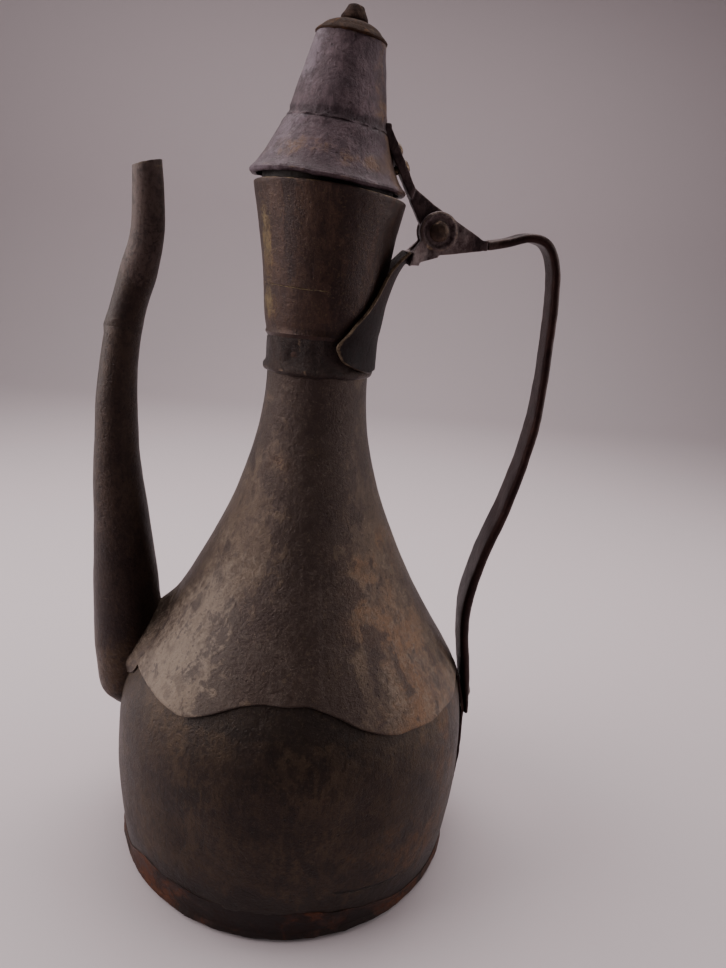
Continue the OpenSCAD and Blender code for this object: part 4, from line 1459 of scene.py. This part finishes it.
@dataclass
class Handle(Part):
    """The strap handle, the plate under its foot and the two rivets."""

    bar_start: float = 60.05
    bar_z: float = 266.8
    pin_z: float = Hinge.pin_z
    strap_t: float = 3.4
    strap_w: float = 12.0
    foot_w: float = 17.0
    plate_t: float = 1.5

    def build(self) -> None:
        """Makes strap, plate and rivets."""
        self.strap()
        self.plate()
        self.rivets()

    def on_plate(self, z: float) -> float:
        """Distance of the strap's middle line from the axis where it lies on the plate."""
        return self.outline.at(z) + GAP + self.plate_t + 0.3 + (self.strap_t + 0.6) / 2

    def route(self) -> list[tuple[float, ...]]:
        """The strap's middle line, in X and Z, from the fork down to the foot."""
        reach = self.outline.belly_r + 12.3
        bend = reach - 6.8
        span = self.pin_z - self.outline.belly_z
        low = self.outline.belly_z
        belly = self.outline.belly_r
        points = [
            (self.bar_start, self.bar_z),
            (self.bar_start + 0.34 * (bend - self.bar_start), self.bar_z + 1.9),
            (self.bar_start + 0.68 * (bend - self.bar_start), self.bar_z + 4.2),
            (bend, self.pin_z - 1.1),
            (reach - 2.5, self.pin_z - 10), (reach - 0.7, self.pin_z - 28),
            (reach, self.pin_z - 52),
            (reach - 0.9, low + 0.61 * span), (belly + 6.4, low + 0.47 * span),
            (belly - 0.8, low + 0.335 * span), (belly - 5, low + 0.215 * span),
            (belly - 3.8, low + 0.115 * span), (self.on_plate(low + 2) + 0.2, low + 2),
            (self.on_plate(low - 7), low - 7), (self.on_plate(low - 14), low - 14)]
        return smooth_line(points, 9)

    def strap(self) -> None:
        """A flat bar with soft corners, bent along its route and flattened towards the foot."""
        route = self.route()
        last = len(route) - 1
        ways = []
        for i in range(last + 1):
            a, b = route[max(i - 1, 0)], route[min(i + 1, last)]
            ways.append(math.atan2(b[1] - a[1], b[0] - a[0]) if i else 0.0)

        def sizes(i: int) -> tuple[float, float]:
            """Widens the bar towards its foot.

            Args:
                i: Which point of the route.

            Returns:
                Width and thickness there.
            """
            share = min(1.0, max(0.0, (i / last - 0.42) / 0.22))
            return (self.strap_w + share * (self.foot_w - self.strap_w),
                    self.strap_t + share * 0.6)

        wide, thick = sizes(0)
        Bench.clear()
        bpy.ops.mesh.primitive_plane_add(size=1 * MM)
        piece = bpy.context.active_object
        piece.name = piece.data.name = "handle_strap"
        Bench.enter("SELECT")
        bpy.ops.transform.resize(value=(thick, wide, 1), center_override=(0, 0, 0))
        bpy.ops.mesh.bevel(affect="VERTICES", offset=thick * 0.46 * MM, segments=4)
        Bench.leave()
        x, z = route[0]
        start = Matrix(((0, 0, 1, x * MM), (0, 1, 0, 0), (-1, 0, 0, z * MM), (0, 0, 0, 1)))
        piece.data.transform(start)
        Bench.pick(piece)
        Bench.enter("SELECT")
        for i in range(last):
            (x0, z0), (x1, z1) = route[i], route[i + 1]
            (w0, t0), (w1, t1) = sizes(i), sizes(i + 1)
            bpy.ops.mesh.extrude_region_move(
                TRANSFORM_OT_translate={"value": ((x1 - x0) * MM, 0, (z1 - z0) * MM)})
            centre = (x1 * MM, 0, z1 * MM)
            bpy.ops.transform.rotate(value=ways[i + 1] - ways[i], orient_axis="Y",
                                     orient_type="GLOBAL", center_override=centre)
            bpy.ops.transform.resize(value=(t1 / t0, w1 / w0, t1 / t0), center_override=centre)
        Bench.leave()
        Bench.face_outwards(piece)
        Bench.modify(piece, "SUBSURF", levels=1, render_levels=1)

        def rub(p: Vector) -> Vector:
            """Softens the bar and seats its foot on the plate.

            Args:
                p: A point of the mesh.

            Returns:
                Where the point goes.
            """
            soft = 0.32 * rough_wave(p, 13.0, 3.0) + 0.12 * rough_wave(p, 4.0, 7.0)
            seat = self.outline.at(p.z) + self.plate_t + 0.4
            if p.z < 82 and p.x > seat:
                soft -= 0.42 * ease(82, 66, p.z) * (p.x - seat)
            return p + Vector((soft, 0.5 * rough_wave(p, 17.0, 8.0), 0.2 * rough_wave(p, 9.0, 5.0)))

        Bench.shape(piece, rub)

        def edges(p: Vector) -> float:
            """Rubs the bar's edges bright.

            Args:
                p: A point of the mesh.

            Returns:
                How strong the mark is there.
            """
            top = 0.3 * ease(60, 70, p.x) * ease(262, 271, p.z)
            return (top * ease(-0.2, 0.5, rough_wave(p, 7.0, 2.0))
                    + 0.28 * ease(0.3, 0.8, rough_wave(p, 11.0, 9.0)))

        Bench.paint(piece, Mark.WEAR, edges)
        Bench.paint(piece, Mark.WARM, lambda p: 0.4 * bell(p.z, 190, 40))
        Bench.paint(piece, Mark.DUST, lambda p: 0.9 * ease(80, 60, p.x) * ease(255, 264, p.z))
        self.dress(piece, self.finishes.handle, "handle_metal", "handle_strap")

    def plate(self) -> None:
        """A thin plate on the drum with a ragged lower end."""
        low, high = 16.5, 82.0
        Bench.clear()
        bpy.ops.mesh.primitive_grid_add(x_subdivisions=20, y_subdivisions=60, size=2 * MM)
        piece = bpy.context.active_object
        piece.name = piece.data.name = "handle_foot_plate"
        sides = smooth_line([(4.0, 16.5), (8.0, 19.5), (9.3, 30.0), (10.4, 44.0), (10.4, 60.0),
                             (9.6, 74.0),
                             (8.2, 82.0)], 6)

        def lay(p: Vector) -> Vector:
            """Lays the plate on the drum under the handle's foot.

            Args:
                p: A point of the mesh.

            Returns:
                Where the point goes.
            """
            z = low + (high - low) * (p.y + 1) / 2
            ragged = 1 + 0.10 * flutter(z / 6, math.copysign(3, p.x), 1.0)
            y = p.x * read_line(sides, z) * ragged
            z += 1.6 * flutter(p.x * 2.5, 2.0, 1.0) * ease(26, 17, z)
            lump = 0.9 * bell(z, 40, 5) * bell(y, 0, 7) + 0.5 * bell(z, 66, 4)
            beaten = 0.22 * rough_wave(Vector((0, y, z)), 5.0, 3.0)
            radius = self.outline.at(z) + GAP + self.plate_t + lump + beaten
            return Vector((math.sqrt(radius * radius - y * y), y, z))

        Bench.shape(piece, lay)
        Bench.thicken(piece, self.plate_t - 0.3, 0.3)
        Bench.paint(piece, Mark.WEAR, lambda p: 0.5 * ease(0.1, 0.7, rough_wave(p, 5.0, 2.0)))
        Bench.paint(piece, Mark.DUST, lambda p: 0.6)
        self.dress(piece, self.finishes.handle, "handle_metal", "handle_foot_plate")

    def rivets(self) -> None:
        """Two rivets, modelled once, through plate, strap and drum."""
        heads = []
        for z, grip in ((39.5, self.plate_t + 0.4), (69.0, self.plate_t + self.strap_t - 0.4)):
            lean = math.atan((self.outline.at(z - 3) - self.outline.at(z + 3)) / 6)
            heads.append(Rivet("rivet", 3.2, 1.6, 1.6, grip, self.outline.sheet + 0.15).make(
                Vector((self.outline.at(z), 0, z)), math.pi / 2 - lean))
        piece = Bench.join("handle_rivets", heads)
        Bench.shape(piece, lambda p: p
                    + Vector((0.15 * rough_wave(p, 1.8), 0.12 * rough_wave(p, 2.0, 3.0), 0)))
        Bench.paint(piece, Mark.WEAR, lambda p: 0.1 + 0.4 * rough_wave(p, 2.0))
        self.dress(piece, self.finishes.rivet, "rivet_metal", "handle_rivets", 60)


@dataclass
class Rivet:
    """One rivet along its own Z axis: domed head, shank and peened end."""

    name: str
    head_r: float
    head_h: float
    shank_r: float
    grip: float
    inside: float

    def make(self, place: Vector, turn: float, frame_of: Matrix | None = None) -> bpy.types.Object:
        """Makes the rivet with its Z axis turned about Y, at a place in millimetres."""
        line = [(self.head_r - 1.0, -self.inside - 0.8), (self.head_r - 0.7, -self.inside - 0.5),
                (self.head_r - 0.8, -self.inside), (self.shank_r, -self.inside),
                (self.shank_r, self.grip),
                (self.head_r, self.grip), (self.head_r * 0.97, self.grip + 0.3 * self.head_h),
                (self.head_r * 0.8, self.grip + 0.68 * self.head_h),
                (self.head_r * 0.5, self.grip + 0.92 * self.head_h),
                (self.head_r * 0.15, self.grip + self.head_h)]
        piece = Bench.raise_wall(self.name, line, 32, top=True)
        Bench.close(piece)
        piece.matrix_world = ((frame_of or Matrix.Identity(4)) @ Matrix.Translation(place * MM)
                              @ Matrix.Rotation(turn, 4, "Y"))
        Bench.settle(piece)
        return piece


@dataclass
class Lid(Part):
    """The conical lid: skirt, cone, cap, knob, sleeve and the strap to the hinge."""

    body: str = "lid"
    tilt: float = 5.0
    place_x: float = -1.2
    place_z: float = 283.4
    brim_r: float = 28.8
    skirt_h: float = 20.5
    cone_h: float = 26.5
    crease_r: float = 17.9
    cap_r: float = 12.4
    cap_h: float = 5.7

    def build(self) -> None:
        """Makes every piece of the lid."""
        self.skirt()
        self.cone()
        self.cap()
        self.knob()
        self.sleeve()
        self.strap()
        self.rivets()

    def frame_of(self) -> Matrix:
        """The lid's own frame: origin in the middle of the brim, Z up its axis."""
        return (Matrix.Translation(Vector((self.place_x, 0, self.place_z)) * MM)
                @ Matrix.Rotation(math.radians(self.tilt), 4, "Y"))

    def set_down(self, piece: bpy.types.Object) -> None:
        """Moves a piece from the lid's own frame into its place."""
        piece.data.transform(self.frame_of())
        piece.data.update()

    def cone_at(self, h: float) -> float:
        """Outer radius of the cone at a height on the lid."""
        return self.crease_r - (h - self.skirt_h) * (self.crease_r - self.cap_r) / self.cone_h

    def skirt_curve(self) -> list[tuple[float, float]]:
        """The skirt's outside from the brim up to the crease."""
        return bezier([(self.brim_r - 0.3, 1.6), (self.brim_r - 4.3, 4.5),
                       (self.crease_r + 4.6, 0.5 * self.skirt_h),
                       (self.crease_r - 0.2, self.skirt_h - 0.1)], 26)

    def crumpled(self, p: Vector) -> Vector:
        """The bends that skirt and cone share: a lean, flats and the crumpled crease."""
        angle = around(p)
        wander = 1.3 * flutter(angle / 22, 4.0, 0.0) + 0.5 * flutter(angle / 7, 9.0, 0.0)
        fold = bell(p.z, self.skirt_h + wander, 1.3)
        near = bell(p.z, self.skirt_h, 4.5)
        wrinkle = rough_wave(Vector((p.x, p.y, p.z * 1.8)), 3.2, 6.0)
        grow = (-0.55 * fold + 0.25 * bell(p.z, self.skirt_h + wander - 2.4, 1.6) + 0.40 * near
                * wrinkle
                + 0.38 * rough_wave(p, 12.0, 2.0) + 0.16 * rough_wave(p, 4.5, 8.0))
        way = p.xy.normalized() * (p.xy.length + grow * ease(0, 3, p.z))
        return Vector((way.x + 0.012 * max(0.0, p.z - 10), way.y, p.z))

    def skirt(self) -> None:
        """The flared skirt with its rolled, uneven brim."""
        curve = self.skirt_curve()
        brim = [(self.brim_r - 2.4, -0.1), (self.brim_r - 1.6, -0.3), (self.brim_r - 0.7, -0.25),
                (self.brim_r - 0.1, 0.2), (self.brim_r + 0.1, 0.9)]
        piece = Bench.raise_wall("lid_skirt", brim + curve, 200)

        def bend(p: Vector) -> Vector:
            """Bends the skirt's brim and crumples its crease.

            Args:
                p: A point of the mesh.

            Returns:
                Where the point goes.
            """
            angle = around(p)
            low = ease(6, 0, p.z)
            moved = self.crumpled(p)
            rise = low * (0.45 * flutter(angle / 26, 1.0, 7.0) + 0.2 * flutter(angle / 8, 5.0, 2.0))
            rise += 0.4 * low * lobe(angle, -95, 40) - 1.5 * low * lobe(angle, 180, 45)
            edge = 0.35 * low * flutter(angle / 11, 2.0, 3.0)
            way = moved.xy.normalized() * (moved.xy.length + edge)
            return Vector((way.x, way.y, moved.z + rise))

        Bench.shape(piece, bend)
        Bench.thicken(piece, 1.1, 0.2)
        Bench.paint(piece, Mark.WEAR,
                    lambda p: 0.55 * bell(p.z, 1.0, 1.0) * ease(-0.3, 0.5, rough_wave(p, 6.0))
                    + 0.5 * facing(p, -14, 10) * bell(p.z, 13, 8)
                    + 0.55 * facing(p, -62, 4) * bell(p.z, 7, 2))
        Bench.paint(piece, Mark.WARM,
                    lambda p: 0.9 * bell(p.z, 7.5, 3.5) * (0.6 + 0.8 * rough_wave(p, 9.0, 4.0))
                    + 0.8 * facing(p, -15, 14))
        # Dusty patches and painted sheen on the skirt's left side.
        Bench.paint(piece, Mark.DUST, lambda p: 0.7 * facing(p, -150, 34))
        Bench.paint(piece, Mark.STAIN, lambda p: 0.9 * bell(p.z, self.skirt_h - 0.5, 1.4))
        self.set_down(piece)
        self.dress(piece, self.finishes.lid, "lid_metal", "lid_skirt")

    def cone(self) -> None:
        """The cone, its lower edge crumpled over the skirt."""
        top = self.skirt_h + self.cone_h
        low = self.skirt_h - 1.2
        count = 34
        heights = [low + (top - low) * i / count for i in range(count + 1)]
        line = [(self.cone_at(h) + 0.35 * ease(4, 0, h - low), h) for h in heights]
        piece = Bench.raise_wall("lid_cone", line, 176)

        def bend(p: Vector) -> Vector:
            """Crumples the cone and waves its hem.

            Args:
                p: A point of the mesh.

            Returns:
                Where the point goes.
            """
            angle = around(p)
            moved = self.crumpled(p)
            hem = ease(low + 5, low, p.z)
            moved.z += hem * (1.1 * flutter(angle / 19, 6.0, 1.0)
                              + 0.5 * flutter(angle / 6, 2.0, 8.0))
            fold = 0.7 * lobe(angle, -22, 5) * bell(p.z, self.skirt_h + 7, 7)
            flat = -0.5 * lobe(angle, -60, 20) * ease(24, 40, p.z)
            way = moved.xy.normalized() * (moved.xy.length + fold + flat)
            return Vector((way.x, way.y, moved.z))

        Bench.shape(piece, bend)
        Bench.thicken(piece, 1.1, 0.2)
        Bench.paint(piece, Mark.WEAR,
                    lambda p: 0.6 * bell(p.z, top - 0.4, 0.8) * ease(-0.3, 0.4, rough_wave(p, 4.0))
                    + 0.5 * facing(p, -12, 5) * ease(26, 34, p.z))
        # Dusty patches and painted sheen on the upper left of the cone.
        Bench.paint(piece, Mark.DUST, lambda p: 0.9 * facing(p, -155, 38) * ease(22, 34, p.z))
        Bench.paint(piece, Mark.STAIN, lambda p: bell(p.z, self.skirt_h + 0.5, 1.8)
                    + 0.15 * facing(p, -88, 24))
        Bench.paint(piece, Mark.WARM, lambda p: 0.6 * facing(p, -30, 16))
        self.set_down(piece)
        self.dress(piece, self.finishes.lid, "lid_metal", "lid_cone")

    def cap(self) -> None:
        """The domed cap with a ragged seam round its edge."""
        top = self.skirt_h + self.cone_h
        line = [(self.cap_r - 1.35, top - 3.0), (self.cap_r - 1.3, top - 0.2),
                (self.cap_r + 0.25, top - 0.1),
                (self.cap_r + 0.3, top + 0.5), (self.cap_r - 0.2, top + 1.1),
                (self.cap_r - 1.1, top + 1.9),
                (self.cap_r - 1.9, top + 2.5), (self.cap_r - 2.3, top + 3.0),
                (self.cap_r - 3.2, top + 3.7),
                (self.cap_r - 4.6, top + 4.4), (self.cap_r - 6.2, top + 4.9),
                (self.cap_r - 7.8, top + 5.2),
                (3.0, top + 5.4), (1.6, top + 5.45)]
        piece = Bench.raise_wall("lid_cap", line, 112)

        def bend(p: Vector) -> Vector:
            """Waves the cap's rim.

            Args:
                p: A point of the mesh.

            Returns:
                Where the point goes.
            """
            angle = around(p)
            rim = bell(p.z, top + 0.5, 1.2)
            grow = 0.35 * rim * flutter(angle / 12, 1.0, 1.0) + 0.14 * rough_wave(p, 3.0)
            way = p.xy.normalized() * (p.xy.length + grow)
            z = p.z + 0.5 * rim * flutter(angle / 14, 7.0, 2.0)
            return Vector((way.x + 0.012 * (p.z - 10), way.y, z))

        Bench.shape(piece, bend)
        Bench.thicken(piece, 0.9, 0.15)
        Bench.paint(piece, Mark.WEAR,
                    lambda p: 0.5 * bell(p.z, top + 2.2, 0.7) + 0.3
                    * ease(0, 0.6, rough_wave(p, 4.0)))
        Bench.paint(piece, Mark.WARM, lambda p: 0.7)
        Bench.paint(piece, Mark.STAIN, lambda p: 0.9 + 0.5 * rough_wave(p, 4.0))
        self.set_down(piece)
        self.dress(piece, self.finishes.cap, "lid_metal", "lid_cap")

    def knob(self) -> None:
        """The blunt knob riveted through the cap."""
        base = self.skirt_h + self.cone_h + self.cap_h
        line = [(2.4, base - 2.0), (2.4, base - 1.55), (1.5, base - 1.5), (1.5, base - 0.2),
                (4.6, base - 0.25),
                (4.85, base + 0.2), (4.7, base + 0.9), (4.1, base + 1.9), (3.6, base + 2.8),
                (3.15, base + 3.7),
                (2.85, base + 4.3), (2.3, base + 4.65), (1.2, base + 4.75)]
        piece = Bench.raise_wall("lid_knob", line, 64, top=True)
        Bench.close(piece)
        Bench.shape(piece, lambda p: p
                    + Vector((0.55 + 0.25 * rough_wave(p, 3.0), 0.25 * rough_wave(p, 3.0, 4.0),
                                                 0.15 * rough_wave(p, 2.0, 2.0))))
        Bench.paint(piece, Mark.WEAR, lambda p: 0.5 * ease(-0.1, 0.6, rough_wave(p, 2.4, 5.0)))
        Bench.paint(piece, Mark.STAIN, lambda p: 0.6)
        self.set_down(piece)
        self.dress(piece, self.finishes.cap, "lid_metal", "lid_knob")

    def sleeve(self) -> None:
        """The ring under the brim that drops into the mouth."""
        line = [(23.45 + 1.1 * (h + 8.5) / 12, h)
                for h in (-8.5, -7, -5.5, -4, -2.5, -1, 0.5, 2, 3.4)]
        piece = Bench.raise_wall("lid_sleeve", line, 144)

        def bend(p: Vector) -> Vector:
            """Bends the sleeve out of round.

            Args:
                p: A point of the mesh.

            Returns:
                Where the point goes.
            """
            way = p.xy.normalized() * (p.xy.length + 0.15 * rough_wave(p, 8.0))
            return Vector((way.x, way.y, p.z + 0.3 * rough_wave(p, 10.0, 3.0) * ease(-5, -8, p.z)))

        Bench.shape(piece, bend)
        Bench.thicken(piece, 0.8, 0.15)
        Bench.paint(piece, Mark.WEAR,
                    lambda p: 0.8 * bell(p.z, 0.3, 0.25) * ease(0.0, 0.5, rough_wave(p, 9.0, 2.0)))
        self.set_down(piece)
        self.dress(piece, self.finishes.sleeve, "sleeve_metal", "lid_sleeve")

    def strap(self) -> None:
        """The forged strap from the cone down to the hinge eye."""
        piece = Bench.from_solid("lid_strap", "lid_strap")
        Bench.forge(piece, 0.34, 4)

        def hammer(p: Vector) -> Vector:
            """Hammers the strap and keeps its eye round.

            Args:
                p: A point of the mesh.

            Returns:
                Where the point goes.
            """
            pin = Vector((p.x - Hinge.pin_x, 0, p.z - Hinge.pin_z)).length
            calm = ease(6.9, 8.5, pin)
            return p + calm * Vector((0.18 * rough_wave(p, 3.2, 2.0), 0.3 * rough_wave(p, 4.5, 6.0),
                                      0.18 * rough_wave(p, 3.2, 9.0)))

        Bench.shape(piece, hammer)
        Bench.paint(piece, Mark.WEAR,
                    lambda p: 0.55 * ease(0.0, 0.6, rough_wave(p, 4.0, 3.0)) * ease(290, 300, p.z))
        Bench.paint(piece, Mark.STAIN, lambda p: 0.5)
        self.dress(piece, self.finishes.hinge, "hinge_metal", "lid_strap")

    def rivets(self) -> None:
        """Two small rivets through strap and skirt."""
        curve = self.skirt_curve()
        start = (self.crease_r + 1.8, self.skirt_h + 1)
        lean = math.atan((self.brim_r + 3.2 - start[0]) / (start[1] - 3.4))
        heads = []
        for h in (0.4 * self.skirt_h, 0.68 * self.skirt_h):
            skin = read_line(curve, h)
            over = (start[0] + (start[1] - h) * math.tan(lean) - skin) * math.cos(lean)
            heads.append(Rivet("rivet", 2.5, 1.2, 1.6, over + 0.05, 2.3).make(
                Vector((skin, 0, h)), math.pi / 2 - lean, self.frame_of()))
        piece = Bench.join("lid_strap_rivets", heads)
        Bench.shape(piece, lambda p: p
                    + Vector((0.15 * rough_wave(p, 1.5), 0.12 * rough_wave(p, 1.7, 3.0), 0)))
        Bench.paint(piece, Mark.WEAR, lambda p: 0.6 + 0.4 * rough_wave(p, 2.0))
        self.dress(piece, self.finishes.rivet, "rivet_metal", "lid_strap_rivets", 60)


@dataclass
class Studio:
    """Floor, backdrop, soft panels and the camera. Lengths here are in metres."""

    finishes: Finishes
    stand: tuple[float, float, float] = (0.0, -0.2895, 0.2655)
    yaw: float = 4.43
    pitch: float = -18.64
    roll: float = 5.55
    lens: float = 27.04

    def build(self) -> None:
        """Sets up everything that isn't the ewer."""
        self.backdrop()
        self.lights()
        self.camera()

    def backdrop(self) -> None:
        """One pale sheet: floor, a wide cove and the wall behind."""
        Bench.clear()
        bpy.ops.mesh.primitive_plane_add(size=2.4, location=(0, -0.35, 0))
        sheet = bpy.context.active_object
        sheet.name = "backdrop"
        Bench.settle(sheet)
        for vertex in sheet.data.vertices:
            vertex.select = vertex.co.y > 0
        for edge in sheet.data.edges:
            edge.select = all(sheet.data.vertices[i].co.y > 0 for i in edge.vertices)
        for face in sheet.data.polygons:
            face.select = False
        bpy.ops.object.mode_set(mode="EDIT")
        bpy.ops.mesh.select_mode(type="EDGE")
        radius, steps = 0.30, 14
        for i in range(steps):
            a, b = (math.radians(90 * k / steps) for k in (i, i + 1))
            bpy.ops.mesh.extrude_region_move(TRANSFORM_OT_translate={
                "value": (0, radius * (math.sin(b) - math.sin(a)),
                          radius * (math.cos(a) - math.cos(b)))})
        bpy.ops.mesh.extrude_region_move(TRANSFORM_OT_translate={"value": (0, 0, 1.2)})
        Bench.leave()
        Bench.polish(sheet, 60)
        sheet.data.materials.append(self.finishes.paper)

    def panel(self, name: str, place: tuple[float, float, float], aim: tuple[float, float, float],
              size: tuple[float, float], power: float, spread: float = 180.0) -> None:
        """One soft rectangular light.

        Args:
            name: The light's name.
            place: Where it stands.
            aim: The point that it faces.
            size: Its width and height.
            power: Its power in watts.
            spread: The angle of its cone, in degrees.
        """
        data = bpy.data.lights.new(name, "AREA")
        data.shape = "RECTANGLE"
        data.size, data.size_y = size
        data.energy = power
        data.color = (1.0, 0.965, 0.955)
        data.spread = math.radians(spread)
        light = bpy.data.objects.new(name, data)
        bpy.context.scene.collection.objects.link(light)
        light.location = place
        light.rotation_mode = "QUATERNION"
        light.rotation_quaternion = (Vector(aim) - Vector(place)).to_track_quat("-Z", "Y")

    def lights(self) -> None:
        """Soft panels at both sides and above, as in a small light tent."""
        middle = (0.0, 0.0, 0.15)
        self.panel("left_panel", (-0.70, 0.0, 0.42), middle, (0.8, 0.8), 4.4, 110)
        self.panel("right_panel", (0.75, 0.0, 0.32), middle, (0.8, 0.8), 2.3, 110)
        self.panel("top_panel", (0.02, 0.30, 0.95), (0.0, 0.05, 0.0), (0.9, 0.7), 9.5)
        self.panel("wall_panel", (0.0, 0.1, 0.95), (0.0, 0.9, 0.75), (1.1, 0.3), 3.4)
        world = bpy.data.worlds.new("room")
        world.use_nodes = True
        world.node_tree.nodes["Background"].inputs["Color"].default_value = (0.62, 0.58, 0.60, 1.0)
        world.node_tree.nodes["Background"].inputs["Strength"].default_value = 0.12
        bpy.context.scene.world = world

    def camera(self) -> None:
        """Stands the camera in front, a little above the middle, looking down."""
        yaw, pitch, roll = (math.radians(a) for a in (self.yaw, self.pitch, self.roll))
        forward = Vector((math.sin(yaw) * math.cos(pitch), math.cos(yaw) * math.cos(pitch),
                          math.sin(pitch)))
        level = Vector((math.cos(yaw), -math.sin(yaw), 0))
        upright = level.cross(forward)
        right = level * math.cos(roll) + upright * math.sin(roll)
        up = right.cross(forward)
        data = bpy.data.cameras.new("camera")
        data.lens = self.lens
        data.clip_start, data.clip_end = 0.01, 20.0
        camera = bpy.data.objects.new("camera", data)
        bpy.context.scene.collection.objects.link(camera)
        turn = Matrix((right, up, -forward)).transposed().to_4x4()
        camera.matrix_world = Matrix.Translation(self.stand) @ turn
        bpy.context.scene.camera = camera


def main() -> None:
    """Builds the ewer piece by piece, then the studio."""
    logging.basicConfig(level=logging.INFO, format="%(message)s")
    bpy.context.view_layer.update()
    finishes = Finishes()
    outline = Outline()
    for part in (Foot, Body, Mouth, Spout, Hinge, Handle, Lid):
        LOG.info("building %s", part.__name__)
        part(finishes, outline).build()
    Studio(finishes).build()


if __name__ == "__main__":
    main()
